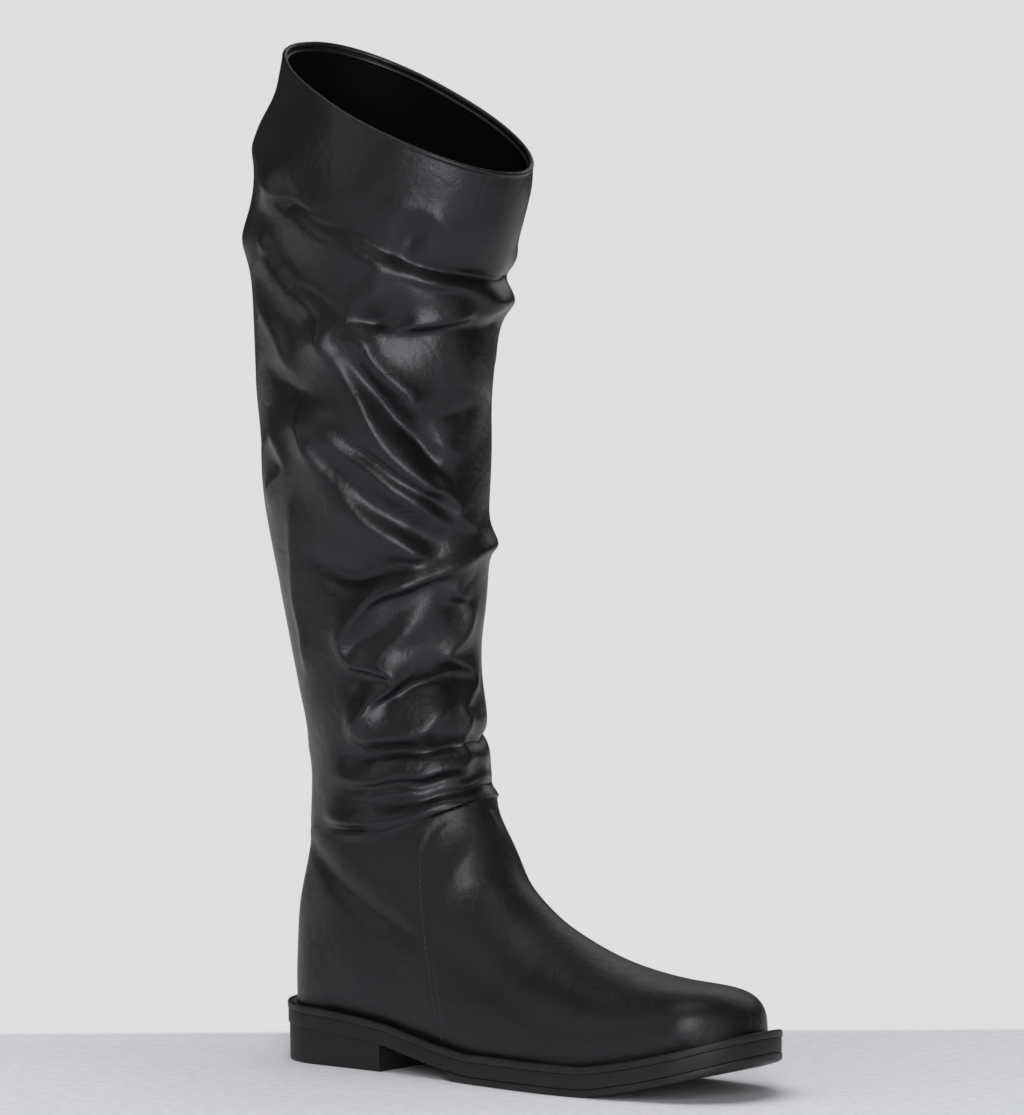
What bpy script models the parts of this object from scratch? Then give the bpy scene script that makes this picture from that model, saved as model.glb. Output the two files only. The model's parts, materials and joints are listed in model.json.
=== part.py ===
"""Tall slouch boot for the right foot: smooth leather on a low block heel, with an inner-side ankle zip.

Frame: +X points to the toe, +Y to the inner side of the foot, +Z up.
The origin is on the floor under the middle of the heel. Sizes below are in millimetres.
"""
import math
from collections import namedtuple

import bmesh
import bpy
import numpy as np
from mathutils import Vector
from mathutils.bvhtree import BVHTree

MM = 0.001
GAP = 0.3

# Sole sizes
HEEL_BACK_X = -32.0
HEEL_CENTRE_X = 0.0
HEEL_BREAST_X = 41.0
TOE_START_X = 200.0
TOE_TIP_X = 236.0
TREAD_START_X = 84.0
WELT_THICK = 3.5
MIDSOLE_THICK = 6.3
TREAD_THICK = 3.4
SOLE_THICK = WELT_THICK + MIDSOLE_THICK + TREAD_THICK + 2 * GAP
RIM_WIDTH = 1.6
LEDGE_DROP = 0.9
WELT_REACH = 13.0
FEATHER_INSET = 4.5
FEATHER_INSET_TOE = 7.0
FEATHER_LIFT = 0.5
INSOLE_THICK = 3.0
SOLE_STATIONS = 28
TREAD_STATIONS = 18
HEEL_STATIONS = 13

# Leather sizes
WALL = 2.0
UPPER_SIDE_POINTS = 14
TOE_ROWS = 6
VAMP_ROWS = 13
HEEL_ROWS = 6
BACK_ROWS = 6
EASE_PASSES = 4
SHAFT_SIDE_POINTS = 18
SHAFT_ROWS = 38
ROWS_CLOSER_BELOW = 1.2
AROUND_PER_DEGREE = 0.95
SEAM_FADE = 8.0
COLLAR_TILT = 5.0
SEAM_SAG = 8.0
SAG_REACH = 17.0

# Zip sizes
ZIP_FOOT_X = 63.0
ZIP_FOOT_Z = 40.0
ZIP_HEAD_X = 27.0
ZIP_HEAD_Z = 178.0
SLOT_WIDTH = 9.0
SLOT_DEPTH = 9.0
TAPE_WIDTH = 20.0
TAPE_THICK = 0.7
TAPE_GAP = 0.6
CHAIN_WIDTH = 5.6
CHAIN_THICK = 1.6
ZIP_STEPS = 18
SLIDER_LENGTH = 12.0
SLIDER_WIDTH = 7.4
SLIDER_THICK = 2.4
SLIDER_DROP = 10.0
BRIDGE_WIDTH = 2.4
BRIDGE_REACH = 3.6
BRIDGE_CLEAR = 1.4
BRIDGE_BAR = 1.0
PULL_LENGTH = 17.0
PULL_WIDTH = 6.4
PULL_THICK = 1.2
PULL_BAR = 1.6
PULL_CORNER = 1.5
WINDOW_WIDTH = 3.6
WINDOW_LENGTH = 5.4

# Half-widths of the welt's outer edge along the foot
OutlineRow = namedtuple("OutlineRow", "x outer inner")
OUTLINE = (
    OutlineRow(-40, 31.0, 30.5),
    OutlineRow(0, 32.0, 31.5),
    OutlineRow(40, 33.5, 30.0),
    OutlineRow(75, 37.0, 27.0),
    OutlineRow(110, 42.5, 32.0),
    OutlineRow(150, 46.0, 40.5),
    OutlineRow(175, 44.0, 42.0),
    OutlineRow(200, 38.5, 39.5),
    OutlineRow(245, 29.0, 32.0),
)

# Height of the welt's rim along the foot: heel, waist, flat forepart and toe spring
HeightRow = namedtuple("HeightRow", "x top")
SOLE_TOP = (
    HeightRow(-40, 28.8),
    HeightRow(0, 27.0),
    HeightRow(41, 23.2),
    HeightRow(60, 19.4),
    HeightRow(80, 15.8),
    HeightRow(100, SOLE_THICK),
    HeightRow(130, SOLE_THICK),
    HeightRow(162, SOLE_THICK),
    HeightRow(182, 16.6),
    HeightRow(202, 21.0),
    HeightRow(222, 26.6),
    HeightRow(242, 33.0),
)

# Sections of the upper, from the vamp to the ankle seam. Each runs from its crown down to its foot,
# which lies on the feather line until the heel is reached and on the back of the heel after it.
Section = namedtuple("Section", "crown_x crown_z foot_x foot_z outer inner widest fullness")
ON_FEATHER = None
ANKLE_SEAM = Section(80.5, 129.0, -19.0, 108.0, 33.0, 32.0, 0.46, 2.0)
UPPER_SECTIONS = (
    Section(200, 49.5, 200, ON_FEATHER, 33.5, 34.5, 0.70, 2.5),
    Section(185, 50.5, 185, ON_FEATHER, 38.0, 37.5, 0.72, 2.3),
    Section(160, 55.5, 160, ON_FEATHER, 42.0, 38.0, 0.74, 2.1),
    Section(136, 64.0, 132, ON_FEATHER, 42.0, 35.5, 0.75, 2.0),
    Section(114, 76.5, 104, ON_FEATHER, 39.5, 31.5, 0.70, 2.0),
    Section(99, 92.0, 78, ON_FEATHER, 37.0, 31.0, 0.62, 2.0),
    Section(90.5, 106.0, 50, ON_FEATHER, 36.0, 32.0, 0.56, 2.0),
    Section(86.5, 115.5, 20, ON_FEATHER, 35.5, 33.0, 0.52, 2.0),
    Section(84.5, 121.0, -8, ON_FEATHER, 35.0, 33.0, 0.50, 2.0),
    Section(83.5, 124.0, -27.5, ON_FEATHER, 34.5, 32.5, 0.48, 2.0),
    Section(82.5, 126.0, -29.5, 50.0, 34.0, 32.5, 0.47, 2.0),
    Section(81.5, 127.5, -26, 77.0, 33.5, 32.0, 0.46, 2.0),
    ANKLE_SEAM,
)

# Sections of the shaft, from the ankle seam to the collar
SHAFT_SECTIONS = (
    ANKLE_SEAM,
    Section(74, 160.0, -17, 141.0, 34.0, 34.0, 0.48, 2.0),
    Section(69, 190.0, -24.5, 176.0, 36.0, 36.0, 0.50, 2.0),
    Section(71.5, 226.0, -32.5, 216.0, 39.5, 39.5, 0.50, 2.0),
    Section(72.5, 266.0, -42.0, 258.0, 43.5, 43.5, 0.50, 2.0),
    Section(73.5, 302.0, -45.5, 298.0, 45.5, 45.5, 0.50, 2.0),
    Section(76, 340.0, -48.0, 344.0, 47.0, 47.0, 0.50, 2.0),
    Section(84, 374.0, -47.0, 398.0, 50.0, 50.0, 0.50, 2.0),
    Section(92, 396.0, -46.0, 442.0, 51.5, 51.5, 0.50, 2.0),
    Section(95.5, 408.0, -35.0, 466.0, 50.5, 50.5, 0.50, 2.0),
    Section(97.0, 416.0, -30.0, 483.5, 49.0, 49.0, 0.50, 2.0),
)

# Folds of the slouched shaft. Turns are degrees round the leg: 0 front, -90 outer side, 90 inner side.
# A fold runs through its start, middle and end; its crest stands out from the leg, or in if negative.
Fold = namedtuple("Fold", "start start_z middle middle_z end end_z crest width")
FOLDS = (
    Fold(-178, 446, -152, 440, -124, 420, 3.5, 8),
    Fold(-132, 416, -60, 380, 20, 362, 4.5, 8),
    Fold(-112, 412, -50, 380, 25, 370, -3.5, 7),
    Fold(-178, 384, -150, 393, -122, 398, 6.0, 14),
    Fold(-142, 396, -97, 364, -60, 339, 4.0, 8),
    Fold(-130, 390, -72, 351, 5, 355, -4.0, 8),
    Fold(-18, 362, 10, 363, 46, 364, 5.0, 11),
    Fold(30, 351, -20, 347, -55, 338, -3.5, 7),
    Fold(-62, 340, -44, 321, -35, 298, 3.0, 7),
    Fold(-87, 346, -62, 311, -30, 272, 5.0, 9),
    Fold(-78, 343, -49, 302, -8, 263, -4.0, 7),
    Fold(-97, 309, -74, 270, -25, 237, 5.0, 8),
    Fold(-90, 300, -60, 271, -20, 247, -5.0, 8),
    Fold(-84, 297, -50, 274, 12, 250, 3.5, 7),
    Fold(-100, 236, -72, 228, -32, 237, -4.0, 8),
    Fold(26, 250, -26, 236, -70, 220, 4.5, 8),
    Fold(-70, 220, -92, 202, -64, 191, 4.0, 8),
    Fold(-54, 190, -60, 177, -96, 157, 3.5, 7),
    Fold(-10, 236, 18, 217, -13, 194, 3.0, 8),
    Fold(-13, 192, 8, 183, -9, 167, 3.0, 7),
    Fold(6, 188, -36, 181, -82, 163, -3.5, 7),
    Fold(-76, 160, -42, 167, -16, 174, 4.0, 10),
    Fold(-125, 146, -50, 150, 40, 157, -3.5, 6),
    Fold(-120, 135, -55, 140, -5, 146, 2.5, 5),
    Fold(-130, 124, -50, 134, 40, 138, -4.0, 6),
    Fold(-124, 117, -65, 124, -5, 131, 3.0, 5),
    Fold(-108, 275, -118, 240, -132, 186, 3.0, 8),
    Fold(-150, 267, -116, 286, -134, 306, 3.0, 9),
    Fold(-28, 304, -8, 308, 22, 312, -2.5, 7),
    Fold(0, 262, 26, 262, 58, 259, 4.0, 10),
    Fold(100, 414, 62, 394, 28, 372, 4.0, 9),
    Fold(122, 348, 76, 339, 32, 346, -4.0, 8),
    Fold(118, 337, 70, 327, 30, 331, 3.5, 9),
    Fold(68, 318, 52, 276, 36, 240, 3.0, 10),
    Fold(134, 204, 84, 206, 34, 213, 4.5, 8),
    Fold(134, 195, 84, 197, 34, 203, -3.0, 7),
    Fold(150, 352, 182, 350, 214, 352, -3.0, 8),
    Fold(142, 300, 176, 291, 212, 298, 3.0, 9),
    Fold(148, 240, 180, 231, 212, 240, -3.0, 8),
    Fold(150, 168, 180, 164, 222, 168, -2.5, 7),
)


def along(rows, column, x):
    """Value of a table's column at x, by a smooth curve that never overshoots its rows."""
    xs = np.array([row[0] for row in rows], dtype=float)
    ys = np.array([getattr(row, column) for row in rows], dtype=float)
    rise = np.diff(ys) / np.diff(xs)
    before, after = rise[:-1], rise[1:]
    same_way = before * after > 0
    inner = np.where(same_way, 2 * before * after / np.where(same_way, before + after, 1), 0)
    slopes = np.concatenate([[rise[0]], inner, [rise[-1]]])
    i = np.clip(np.searchsorted(xs, x) - 1, 0, len(xs) - 2)
    span = xs[i + 1] - xs[i]
    t = (x - xs[i]) / span
    return ((1 + 2 * t) * (1 - t) ** 2 * ys[i] + t * (1 - t) ** 2 * span * slopes[i]
            + t * t * (3 - 2 * t) * ys[i + 1] + t * t * (t - 1) * span * slopes[i + 1])


def half_width(side, x, inset):
    """Half-width of the sole's outline on one side, drawn in by an inset and rounded at heel and toe."""
    back = np.clip((HEEL_CENTRE_X - x) / (HEEL_CENTRE_X - HEEL_BACK_X - inset), 0, 1)
    tip = np.clip((x - TOE_START_X) / (TOE_TIP_X - inset - TOE_START_X), 0, 1)
    rounding = np.sqrt(1 - back ** 2) * (1 - tip ** 2.5) ** (1 / 2.3)
    return (along(OUTLINE, side, x) - inset) * rounding


def feather_inset(x):
    """How far the upper's foot stands in from the welt's outer edge."""
    return FEATHER_INSET + (FEATHER_INSET_TOE - FEATHER_INSET) * np.clip((x - 150) / 90, 0, 1)


def wall_inset(x):
    """How far the insole stands in, just clear of the upper's wall."""
    toe = 1.8 * np.clip((x - 180) / 40, 0, 1)
    heel = 1.2 * np.clip(-x / 12, 0, 1)
    return feather_inset(x) + WALL + 1.6 + toe + heel


def sole_top(x):
    return along(SOLE_TOP, "top", x)


def ledge_z(x):
    return sole_top(x) - LEDGE_DROP


def feather_z(x):
    return ledge_z(x) + FEATHER_LIFT


def board_bottom(x):
    return ledge_z(x) + GAP


def midsole_top(x):
    return sole_top(x) - WELT_THICK - GAP


def midsole_bottom(x):
    return midsole_top(x) - MIDSOLE_THICK


def tread_top(x):
    return midsole_bottom(x) - GAP


def tread_bottom(x):
    return tread_top(x) - TREAD_THICK


def floor_level(x):
    return 0.0 * x


def seam_z(x):
    """Height of the plane through the front and back of the ankle seam, which tilts down to the back."""
    seam = ANKLE_SEAM
    return seam.foot_z + (x - seam.foot_x) * (seam.crown_z - seam.foot_z) / (seam.crown_x - seam.foot_x)


def sag(x, y, z):
    """How far the leather round the ankle seam hangs below that plane, on the outer side."""
    outer = np.clip(-y / ANKLE_SEAM.outer, 0, 1) ** 1.5
    ahead = np.clip((x + 10) / 55, 0, 1)
    near = np.exp(-((z - seam_z(x)) / SAG_REACH) ** 2)
    return SEAM_SAG * outer * ahead * ahead * (3 - 2 * ahead) * near


def drawn_in(distance):
    return lambda x: distance


def lowered(height, drop):
    return lambda x: height(x) - drop


def stations(inset, count=SOLE_STATIONS):
    """Stations from heel to toe, closer together towards both ends."""
    t = np.linspace(0, 1, count)
    start, end = HEEL_BACK_X + inset, TOE_TIP_X - inset
    return start + (end - start) * (1 - np.cos(np.pi * t)) / 2


class Surface:
    """Collects points, sharing those that coincide, and the faces between them."""

    def __init__(self):
        self.points = []
        self.places = {}
        self.faces = []

    def point(self, p):
        key = tuple(round(float(c), 4) for c in p)
        if key not in self.places:
            self.places[key] = len(self.points)
            self.points.append(key)
        return self.places[key]

    def face(self, corners):
        ids = [self.point(p) for p in corners]
        kept = [c for i, c in enumerate(ids) if c != ids[i - 1]]
        if len(set(kept)) >= 3:
            self.faces.append(kept)

    def grid(self, rows, closed=False):
        for low, high in zip(rows, rows[1:]):
            columns = len(low) if closed else len(low) - 1
            for j in range(columns):
                k = (j + 1) % len(low)
                self.face((low[j], low[k], high[k], high[j]))

    def build(self, name, skin, collection):
        mesh = bpy.data.meshes.new(name)
        mesh.from_pydata([tuple(c * MM for c in p) for p in self.points], [], self.faces)
        made = bmesh.new()
        made.from_mesh(mesh)
        bmesh.ops.recalc_face_normals(made, faces=made.faces)
        made.to_mesh(mesh)
        made.free()
        mesh.materials.append(skin)
        part = bpy.data.objects.new(name, mesh)
        collection.objects.link(part)
        return part


def material(name, colour, roughness, metallic=0.0):
    made = bpy.data.materials.new(name)
    made.use_nodes = True
    shader = made.node_tree.nodes["Principled BSDF"]
    shader.inputs["Base Color"].default_value = (*colour, 1)
    shader.inputs["Roughness"].default_value = roughness
    shader.inputs["Metallic"].default_value = metallic
    return made


def rim(xs, inset, height):
    """One rim of the sole, as its outer side and its inner side from the back to the toe."""
    outer = [(x, -half_width("outer", x, inset(x)), height(x)) for x in xs]
    inner = [(x, half_width("inner", x, inset(x)), height(x)) for x in xs]
    return outer, inner


def plate(rims):
    """Solid plate between rims, closed across its first and last rim."""
    surface = Surface()
    surface.grid([outer + inner[::-1] for outer, inner in rims], closed=True)
    for outer, inner in (rims[0], rims[-1]):
        for i in range(len(outer) - 1):
            surface.face((outer[i], outer[i + 1], inner[i + 1], inner[i]))
    return surface


def make_welt(rubber, collection):
    """Ring under the upper's edge: a raised rim outside and a ledge inside it."""
    profile = ((WELT_REACH, WELT_THICK), (0.3, WELT_THICK), (0.0, WELT_THICK - 0.5), (0.0, 0.8), (0.6, 0.0),
               (RIM_WIDTH, 0.0), (RIM_WIDTH + 0.8, LEDGE_DROP), (WELT_REACH, LEDGE_DROP),
               (WELT_REACH, WELT_THICK))
    rows = []
    for inset, drop in profile:
        outer, inner = rim(stations(inset), drawn_in(inset), lowered(sole_top, drop))
        rows.append(outer + inner[::-1])
    surface = Surface()
    surface.grid(rows, closed=True)
    surface.build("welt", rubber, collection)


def make_midsole(rubber, collection):
    rims = []
    for inset, height, drop in ((1.2, midsole_top, 0), (0.7, midsole_top, 0.5),
                                (0.7, midsole_bottom, -0.5), (1.2, midsole_bottom, 0)):
        rims.append(rim(stations(inset), drawn_in(inset), lowered(height, drop)))
    plate(rims).build("midsole", rubber, collection)


def make_half_sole(rubber, collection):
    rims = []
    t = np.linspace(0, 1, TREAD_STATIONS)
    for inset, height, drop in ((0.9, tread_top, 0), (0.5, tread_top, 0.4),
                                (0.5, tread_bottom, -0.7), (1.2, tread_bottom, 0)):
        xs = TREAD_START_X + (TOE_TIP_X - inset - TREAD_START_X) * np.sin(t * np.pi / 2)
        rims.append(rim(xs, drawn_in(inset), lowered(height, drop)))
    plate(rims).build("half_sole", rubber, collection)


def make_heel(rubber, collection):
    rims = []
    t = np.linspace(0, 1, HEEL_STATIONS)
    for inset, height, drop in ((1.4, tread_top, 0), (1.4, floor_level, -0.8), (2.2, floor_level, 0)):
        back = HEEL_BACK_X + inset
        xs = back + (HEEL_BREAST_X - back) * (1 - np.cos(t * np.pi / 2))
        rims.append(rim(xs, drawn_in(inset), lowered(height, drop)))
    plate(rims).build("heel", rubber, collection)


def make_insole(board, collection):
    """Sock board on the welt's ledge, with its lower layer in the welt's opening."""
    tip = TOE_TIP_X
    for _ in range(20):
        tip = TOE_TIP_X - wall_inset(tip)
    back = HEEL_BACK_X + wall_inset(HEEL_BACK_X)
    t = np.linspace(0, 1, SOLE_STATIONS)
    wide = back + (tip - back) * (1 - np.cos(np.pi * t)) / 2
    inset = WELT_REACH + GAP
    narrow = stations(inset)
    rims = (rim(wide, wall_inset, lowered(board_bottom, -INSOLE_THICK)),
            rim(wide, wall_inset, board_bottom),
            rim(narrow, drawn_in(inset), board_bottom),
            rim(narrow, drawn_in(inset), lowered(midsole_top, -GAP)))
    plate(rims).build("insole", board, collection)


def section_points(section, count):
    """Points of one section, from the outer foot over the crown to the inner foot."""
    on_feather = section.foot_z is ON_FEATHER
    foot_z = feather_z(section.foot_x) if on_feather else section.foot_z
    s = np.linspace(0, 1, 400) ** 1.5
    sides = []
    for side, sign in (("outer", -1), ("inner", 1)):
        widest = getattr(section, side)
        foot_width = 0.0
        if on_feather:
            foot_width = half_width(side, section.foot_x, feather_inset(section.foot_x))
        rise = np.clip(s / section.widest, 0, 1)
        fall = np.clip((s - section.widest) / (1 - section.widest), 0, 1)
        front = widest * (1 - (1 - rise) ** section.fullness) ** (1 / section.fullness)
        back = foot_width + (widest - foot_width) * (1 - fall ** 2.2) ** (1 / 2.2)
        x = section.crown_x + (section.foot_x - section.crown_x) * s
        z = section.crown_z + (foot_z - section.crown_z) * s
        line = np.stack([x, sign * np.where(s < section.widest, front, back), z], axis=1)
        lengths = np.concatenate([[0], np.cumsum(np.linalg.norm(np.diff(line, axis=0), axis=1))])
        wanted = np.linspace(0, lengths[-1], count + 1)
        sides.append(np.stack([np.interp(wanted, lengths, line[:, k]) for k in range(3)], axis=1))
    return np.concatenate([sides[0][::-1], sides[1][1:]])


def blended_sections(table, places):
    """Sections at places along a table, by smooth curves through every column."""
    Row = namedtuple("Row", ("at",) + Section._fields)
    last_on_feather = sum(row.foot_z is ON_FEATHER for row in table) - 1
    rows = []
    for i, row in enumerate(table):
        foot_z = feather_z(row.foot_x) if i <= last_on_feather else row.foot_z
        rows.append(Row(i, *row._replace(foot_z=foot_z)))
    made = []
    for place in places:
        section = Section(*(float(along(rows, name, place)) for name in Section._fields))
        if place <= last_on_feather:
            section = section._replace(foot_z=ON_FEATHER)
        made.append(section)
    return made


def feather_at(side, share):
    """Place on the feather line round the toe; share runs from 0 at the toe's start to 1 at its tip."""
    xs = np.linspace(TOE_START_X, TOE_TIP_X - FEATHER_INSET, 300)
    widths = np.array([half_width(side, x, feather_inset(x)) for x in xs])
    width = widths[0] * math.cos(share * math.pi / 2)
    x = float(np.interp(-width, -widths, xs))
    return x, width, feather_z(x)


def toe_fan(first_row):
    """Rows of the toe, from the feather line up to the first section of the vamp."""
    columns = []
    for j, (x, y, z) in enumerate(first_row):
        share = 1 - abs(j / UPPER_SIDE_POINTS - 1)
        side, sign = ("outer", -1) if j <= UPPER_SIDE_POINTS else ("inner", 1)
        foot_x, foot_width, foot_z = feather_at(side, share)
        columns.append((x, y, z, foot_x, sign * foot_width, foot_z))
    rows = []
    for angle in np.linspace(math.pi / 2, 0, TOE_ROWS, endpoint=False):
        out, up = math.sin(angle) ** 0.8, math.cos(angle) ** 0.75
        rows.append([(x + (foot_x - x) * out, foot_y + (y - foot_y) * up, foot_z + (z - foot_z) * up)
                     for x, y, z, foot_x, foot_y, foot_z in columns])
    return rows


def eased(rows):
    """Rows with the small breaks between sections drawn smooth; the edges stay where they are."""
    for _ in range(EASE_PASSES):
        around = (rows[:-2, 1:-1] + rows[2:, 1:-1] + rows[1:-1, :-2] + rows[1:-1, 2:]) / 4
        rows[1:-1, 1:-1] += (around - rows[1:-1, 1:-1]) / 2
    return rows


def upper_rows():
    """Rows of the upper: the toe, the vamp, round the heel and up its back to the ankle seam."""
    last_on_feather = sum(row.foot_z is ON_FEATHER for row in UPPER_SECTIONS) - 1
    round_heel = np.sin(np.linspace(0, math.pi / 2, HEEL_ROWS))[1:]
    places = np.concatenate([np.linspace(0, last_on_feather - 1, VAMP_ROWS),
                             last_on_feather - 1 + round_heel,
                             np.linspace(last_on_feather, len(UPPER_SECTIONS) - 1, BACK_ROWS)[1:]])
    rows = [section_points(s, UPPER_SIDE_POINTS) for s in blended_sections(UPPER_SECTIONS, places)]
    return eased(np.array(toe_fan(rows[0]) + rows))


def fold_lift(turn, z):
    """How far the folds push the leather out at turns round the leg and heights."""
    lift = np.zeros(turn.shape)
    t = np.linspace(0, 1, 25)
    for fold in FOLDS:
        bend = 2 * fold.middle - (fold.start + fold.end) / 2
        bend_z = 2 * fold.middle_z - (fold.start_z + fold.end_z) / 2
        path = (1 - t) ** 2 * fold.start + 2 * t * (1 - t) * bend + t * t * fold.end
        path_z = (1 - t) ** 2 * fold.start_z + 2 * t * (1 - t) * bend_z + t * t * fold.end_z
        across = (turn[..., None] - path + 180) % 360 - 180
        distance = np.hypot(across * AROUND_PER_DEGREE, z[..., None] - path_z)
        fade = np.sin(np.pi * (0.08 + 0.84 * t[np.argmin(distance, axis=-1)])) ** 0.7
        lift += fold.crest * fade * np.exp(-(distance.min(axis=-1) / fold.width) ** 2)
    return lift


def shaft_rows():
    """Rows of the slouched shaft from the ankle seam to the collar, closed round the leg."""
    places = (len(SHAFT_SECTIONS) - 1) * np.linspace(0, 1, SHAFT_ROWS) ** ROWS_CLOSER_BELOW
    sections = blended_sections(SHAFT_SECTIONS, places)
    rings = np.array([section_points(s, SHAFT_SIDE_POINTS)[:-1] for s in sections])
    at_collar = np.clip(places - (len(SHAFT_SECTIONS) - 2), 0, 1)[:, None]
    rings[:, :, 2] += COLLAR_TILT * at_collar ** 2 * rings[:, :, 1] / SHAFT_SECTIONS[-1].outer
    turn = np.arange(-SHAFT_SIDE_POINTS, SHAFT_SIDE_POINTS) / SHAFT_SIDE_POINTS * 180
    turn = np.broadcast_to(turn, rings.shape[:2])
    round_leg = np.roll(rings, -1, axis=1) - np.roll(rings, 1, axis=1)
    outward = np.cross(round_leg, np.gradient(rings, axis=0))
    outward /= np.linalg.norm(outward, axis=-1, keepdims=True)
    fade = np.clip((rings[:, :, 2] - rings[0, :, 2]) / SEAM_FADE, 0, 1)
    folded = rings + outward * (fold_lift(turn, rings[:, :, 2]) * fade)[..., None]
    folded[0, :, 2] += GAP
    return np.concatenate([folded, folded[:, :1]], axis=1)


def shell(name, rows, skin, collection):
    """Open surface through rows of points, thickened inwards into a wall."""
    surface = Surface()
    surface.grid(rows)
    part = surface.build(name, skin, collection)
    wall = part.modifiers.new("wall", "SOLIDIFY")
    wall.thickness = WALL * MM
    wall.offset = -1
    thick = bpy.data.meshes.new_from_object(part.evaluated_get(bpy.context.evaluated_depsgraph_get()))
    part.modifiers.remove(wall)
    part.data = thick
    return part


def trim_upper(part):
    """Level the wall's lower edge on the ledge and its upper edge on the ankle seam."""
    for corner in part.data.vertices:
        x, z = corner.co.x / MM, corner.co.z / MM
        corner.co.z = min(max(z, feather_z(x)), seam_z(x)) * MM


def trim_shaft(part):
    """Level the wall's lower edge a gap above the ankle seam."""
    for corner in part.data.vertices:
        corner.co.z = max(corner.co.z, (seam_z(corner.co.x / MM) + GAP) * MM)


def let_down(part):
    """Hang the leather round the ankle seam lower on the outer side."""
    for corner in part.data.vertices:
        x, y, z = corner.co / MM
        corner.co.z -= sag(x, y, z) * MM


class ZipLine:
    """The zip's line on the outside of the leather, with the directions along, across and out of it."""

    def __init__(self, foot_rows, leg_rows):
        skin = Surface()
        skin.grid(foot_rows)
        skin.grid(leg_rows)
        self.tree = BVHTree.FromPolygons(skin.points, skin.faces)

    def wall_y(self, x, z):
        """Sideways place of the leather, taken past the ankle seam's gap by looking just above it."""
        for rise in (0.0, 2 * GAP):
            hit = self.tree.ray_cast(Vector((x, 200, z + rise)), Vector((0, -1, 0)))[0]
            if hit is not None and hit.y > 0:
                return hit.y
        return 0.0

    def place(self, t, shift=0.0):
        """Point on the line: t runs from 0 at the foot of the zip to 1 at its head."""
        x = ZIP_FOOT_X + (ZIP_HEAD_X - ZIP_FOOT_X) * t + shift
        z = ZIP_FOOT_Z + (ZIP_HEAD_Z - ZIP_FOOT_Z) * t
        return Vector((x, self.wall_y(x, z), z))

    def frame(self, t):
        centre = self.place(t)
        up_zip = (self.place(t + 0.05) - self.place(t - 0.05)).normalized()
        across = (self.place(t, 9) - self.place(t, -9)).normalized()
        out = across.cross(up_zip).normalized()
        if out.y < 0:
            out = -out
        return centre, up_zip, up_zip.cross(out).normalized(), out

    def strip(self, first, last, width, columns, outer, inner):
        """Solid strip along the zip between two depths, bent across to follow the wall."""
        loops = []
        for t in np.linspace(first, last, ZIP_STEPS):
            centre, up_zip, across, out = self.frame(t)
            line = []
            for v in np.linspace(-width / 2, width / 2, columns):
                p = centre + across * v
                if columns > 2:
                    p.y = self.wall_y(p.x, p.z)
                line.append(p)
            loops.append([p + out * outer for p in line] + [p + out * inner for p in line[::-1]])
        surface = Surface()
        surface.grid(loops, closed=True)
        for loop in (loops[0], loops[-1]):
            for i in range(columns - 1):
                surface.face((loop[i], loop[i + 1], loop[-i - 2], loop[-i - 1]))
        return surface


def prism(profile, low, high):
    """Solid between two copies of a flat outline; low and high place a profile point at either end."""
    surface = Surface()
    rings = [[low(u, v) for u, v in profile], [high(u, v) for u, v in profile]]
    surface.grid(rings, closed=True)
    surface.face(rings[0])
    surface.face(rings[1])
    return surface


def cutter(surface, name, skin):
    """Hidden tool for a Boolean, kept in its own collection."""
    if "cutters" not in bpy.data.collections:
        bpy.context.scene.collection.children.link(bpy.data.collections.new("cutters"))
    tool = surface.build(name, skin, bpy.data.collections["cutters"])
    tool.hide_render = True
    tool.display_type = "WIRE"
    return tool


def combine(part, tool, operation):
    step = part.modifiers.new(tool.name, "BOOLEAN")
    step.operation = operation
    step.solver = "EXACT"
    step.object = tool


def make_slider(seat, up_zip, across, out, steel, collection):
    """Slider with shoulders, and an open bridge on it that holds the pull."""
    half, wide = SLIDER_LENGTH / 2, SLIDER_WIDTH / 2
    outline = ((-half, -0.78 * wide), (-0.2 * half, -0.78 * wide), (0.5 * half, -wide), (half, -0.8 * wide),
               (half, 0.8 * wide), (0.5 * half, wide), (-0.2 * half, 0.78 * wide), (-half, 0.78 * wide))
    body = prism(outline, lambda u, v: seat + up_zip * u + across * v,
                 lambda u, v: seat + up_zip * u * 0.94 + across * v * 0.9 + out * SLIDER_THICK)
    slider = body.build("zip_slider", steel, collection)
    root, under = SLIDER_THICK - 0.4, SLIDER_THICK + 2 * BRIDGE_CLEAR
    over, reach, inside = under + BRIDGE_BAR, BRIDGE_REACH, BRIDGE_REACH - BRIDGE_BAR
    arch = ((-reach, root), (-reach, under), (-inside, over), (inside, over), (reach, under), (reach, root),
            (inside, root), (inside, under), (-inside, under), (-inside, root))
    side = across * BRIDGE_WIDTH / 2
    bridge = prism(arch, lambda u, w: seat + up_zip * u + out * w - side,
                   lambda u, w: seat + up_zip * u + out * w + side)
    combine(slider, cutter(bridge, "bridge_tool", steel), "UNION")


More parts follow.
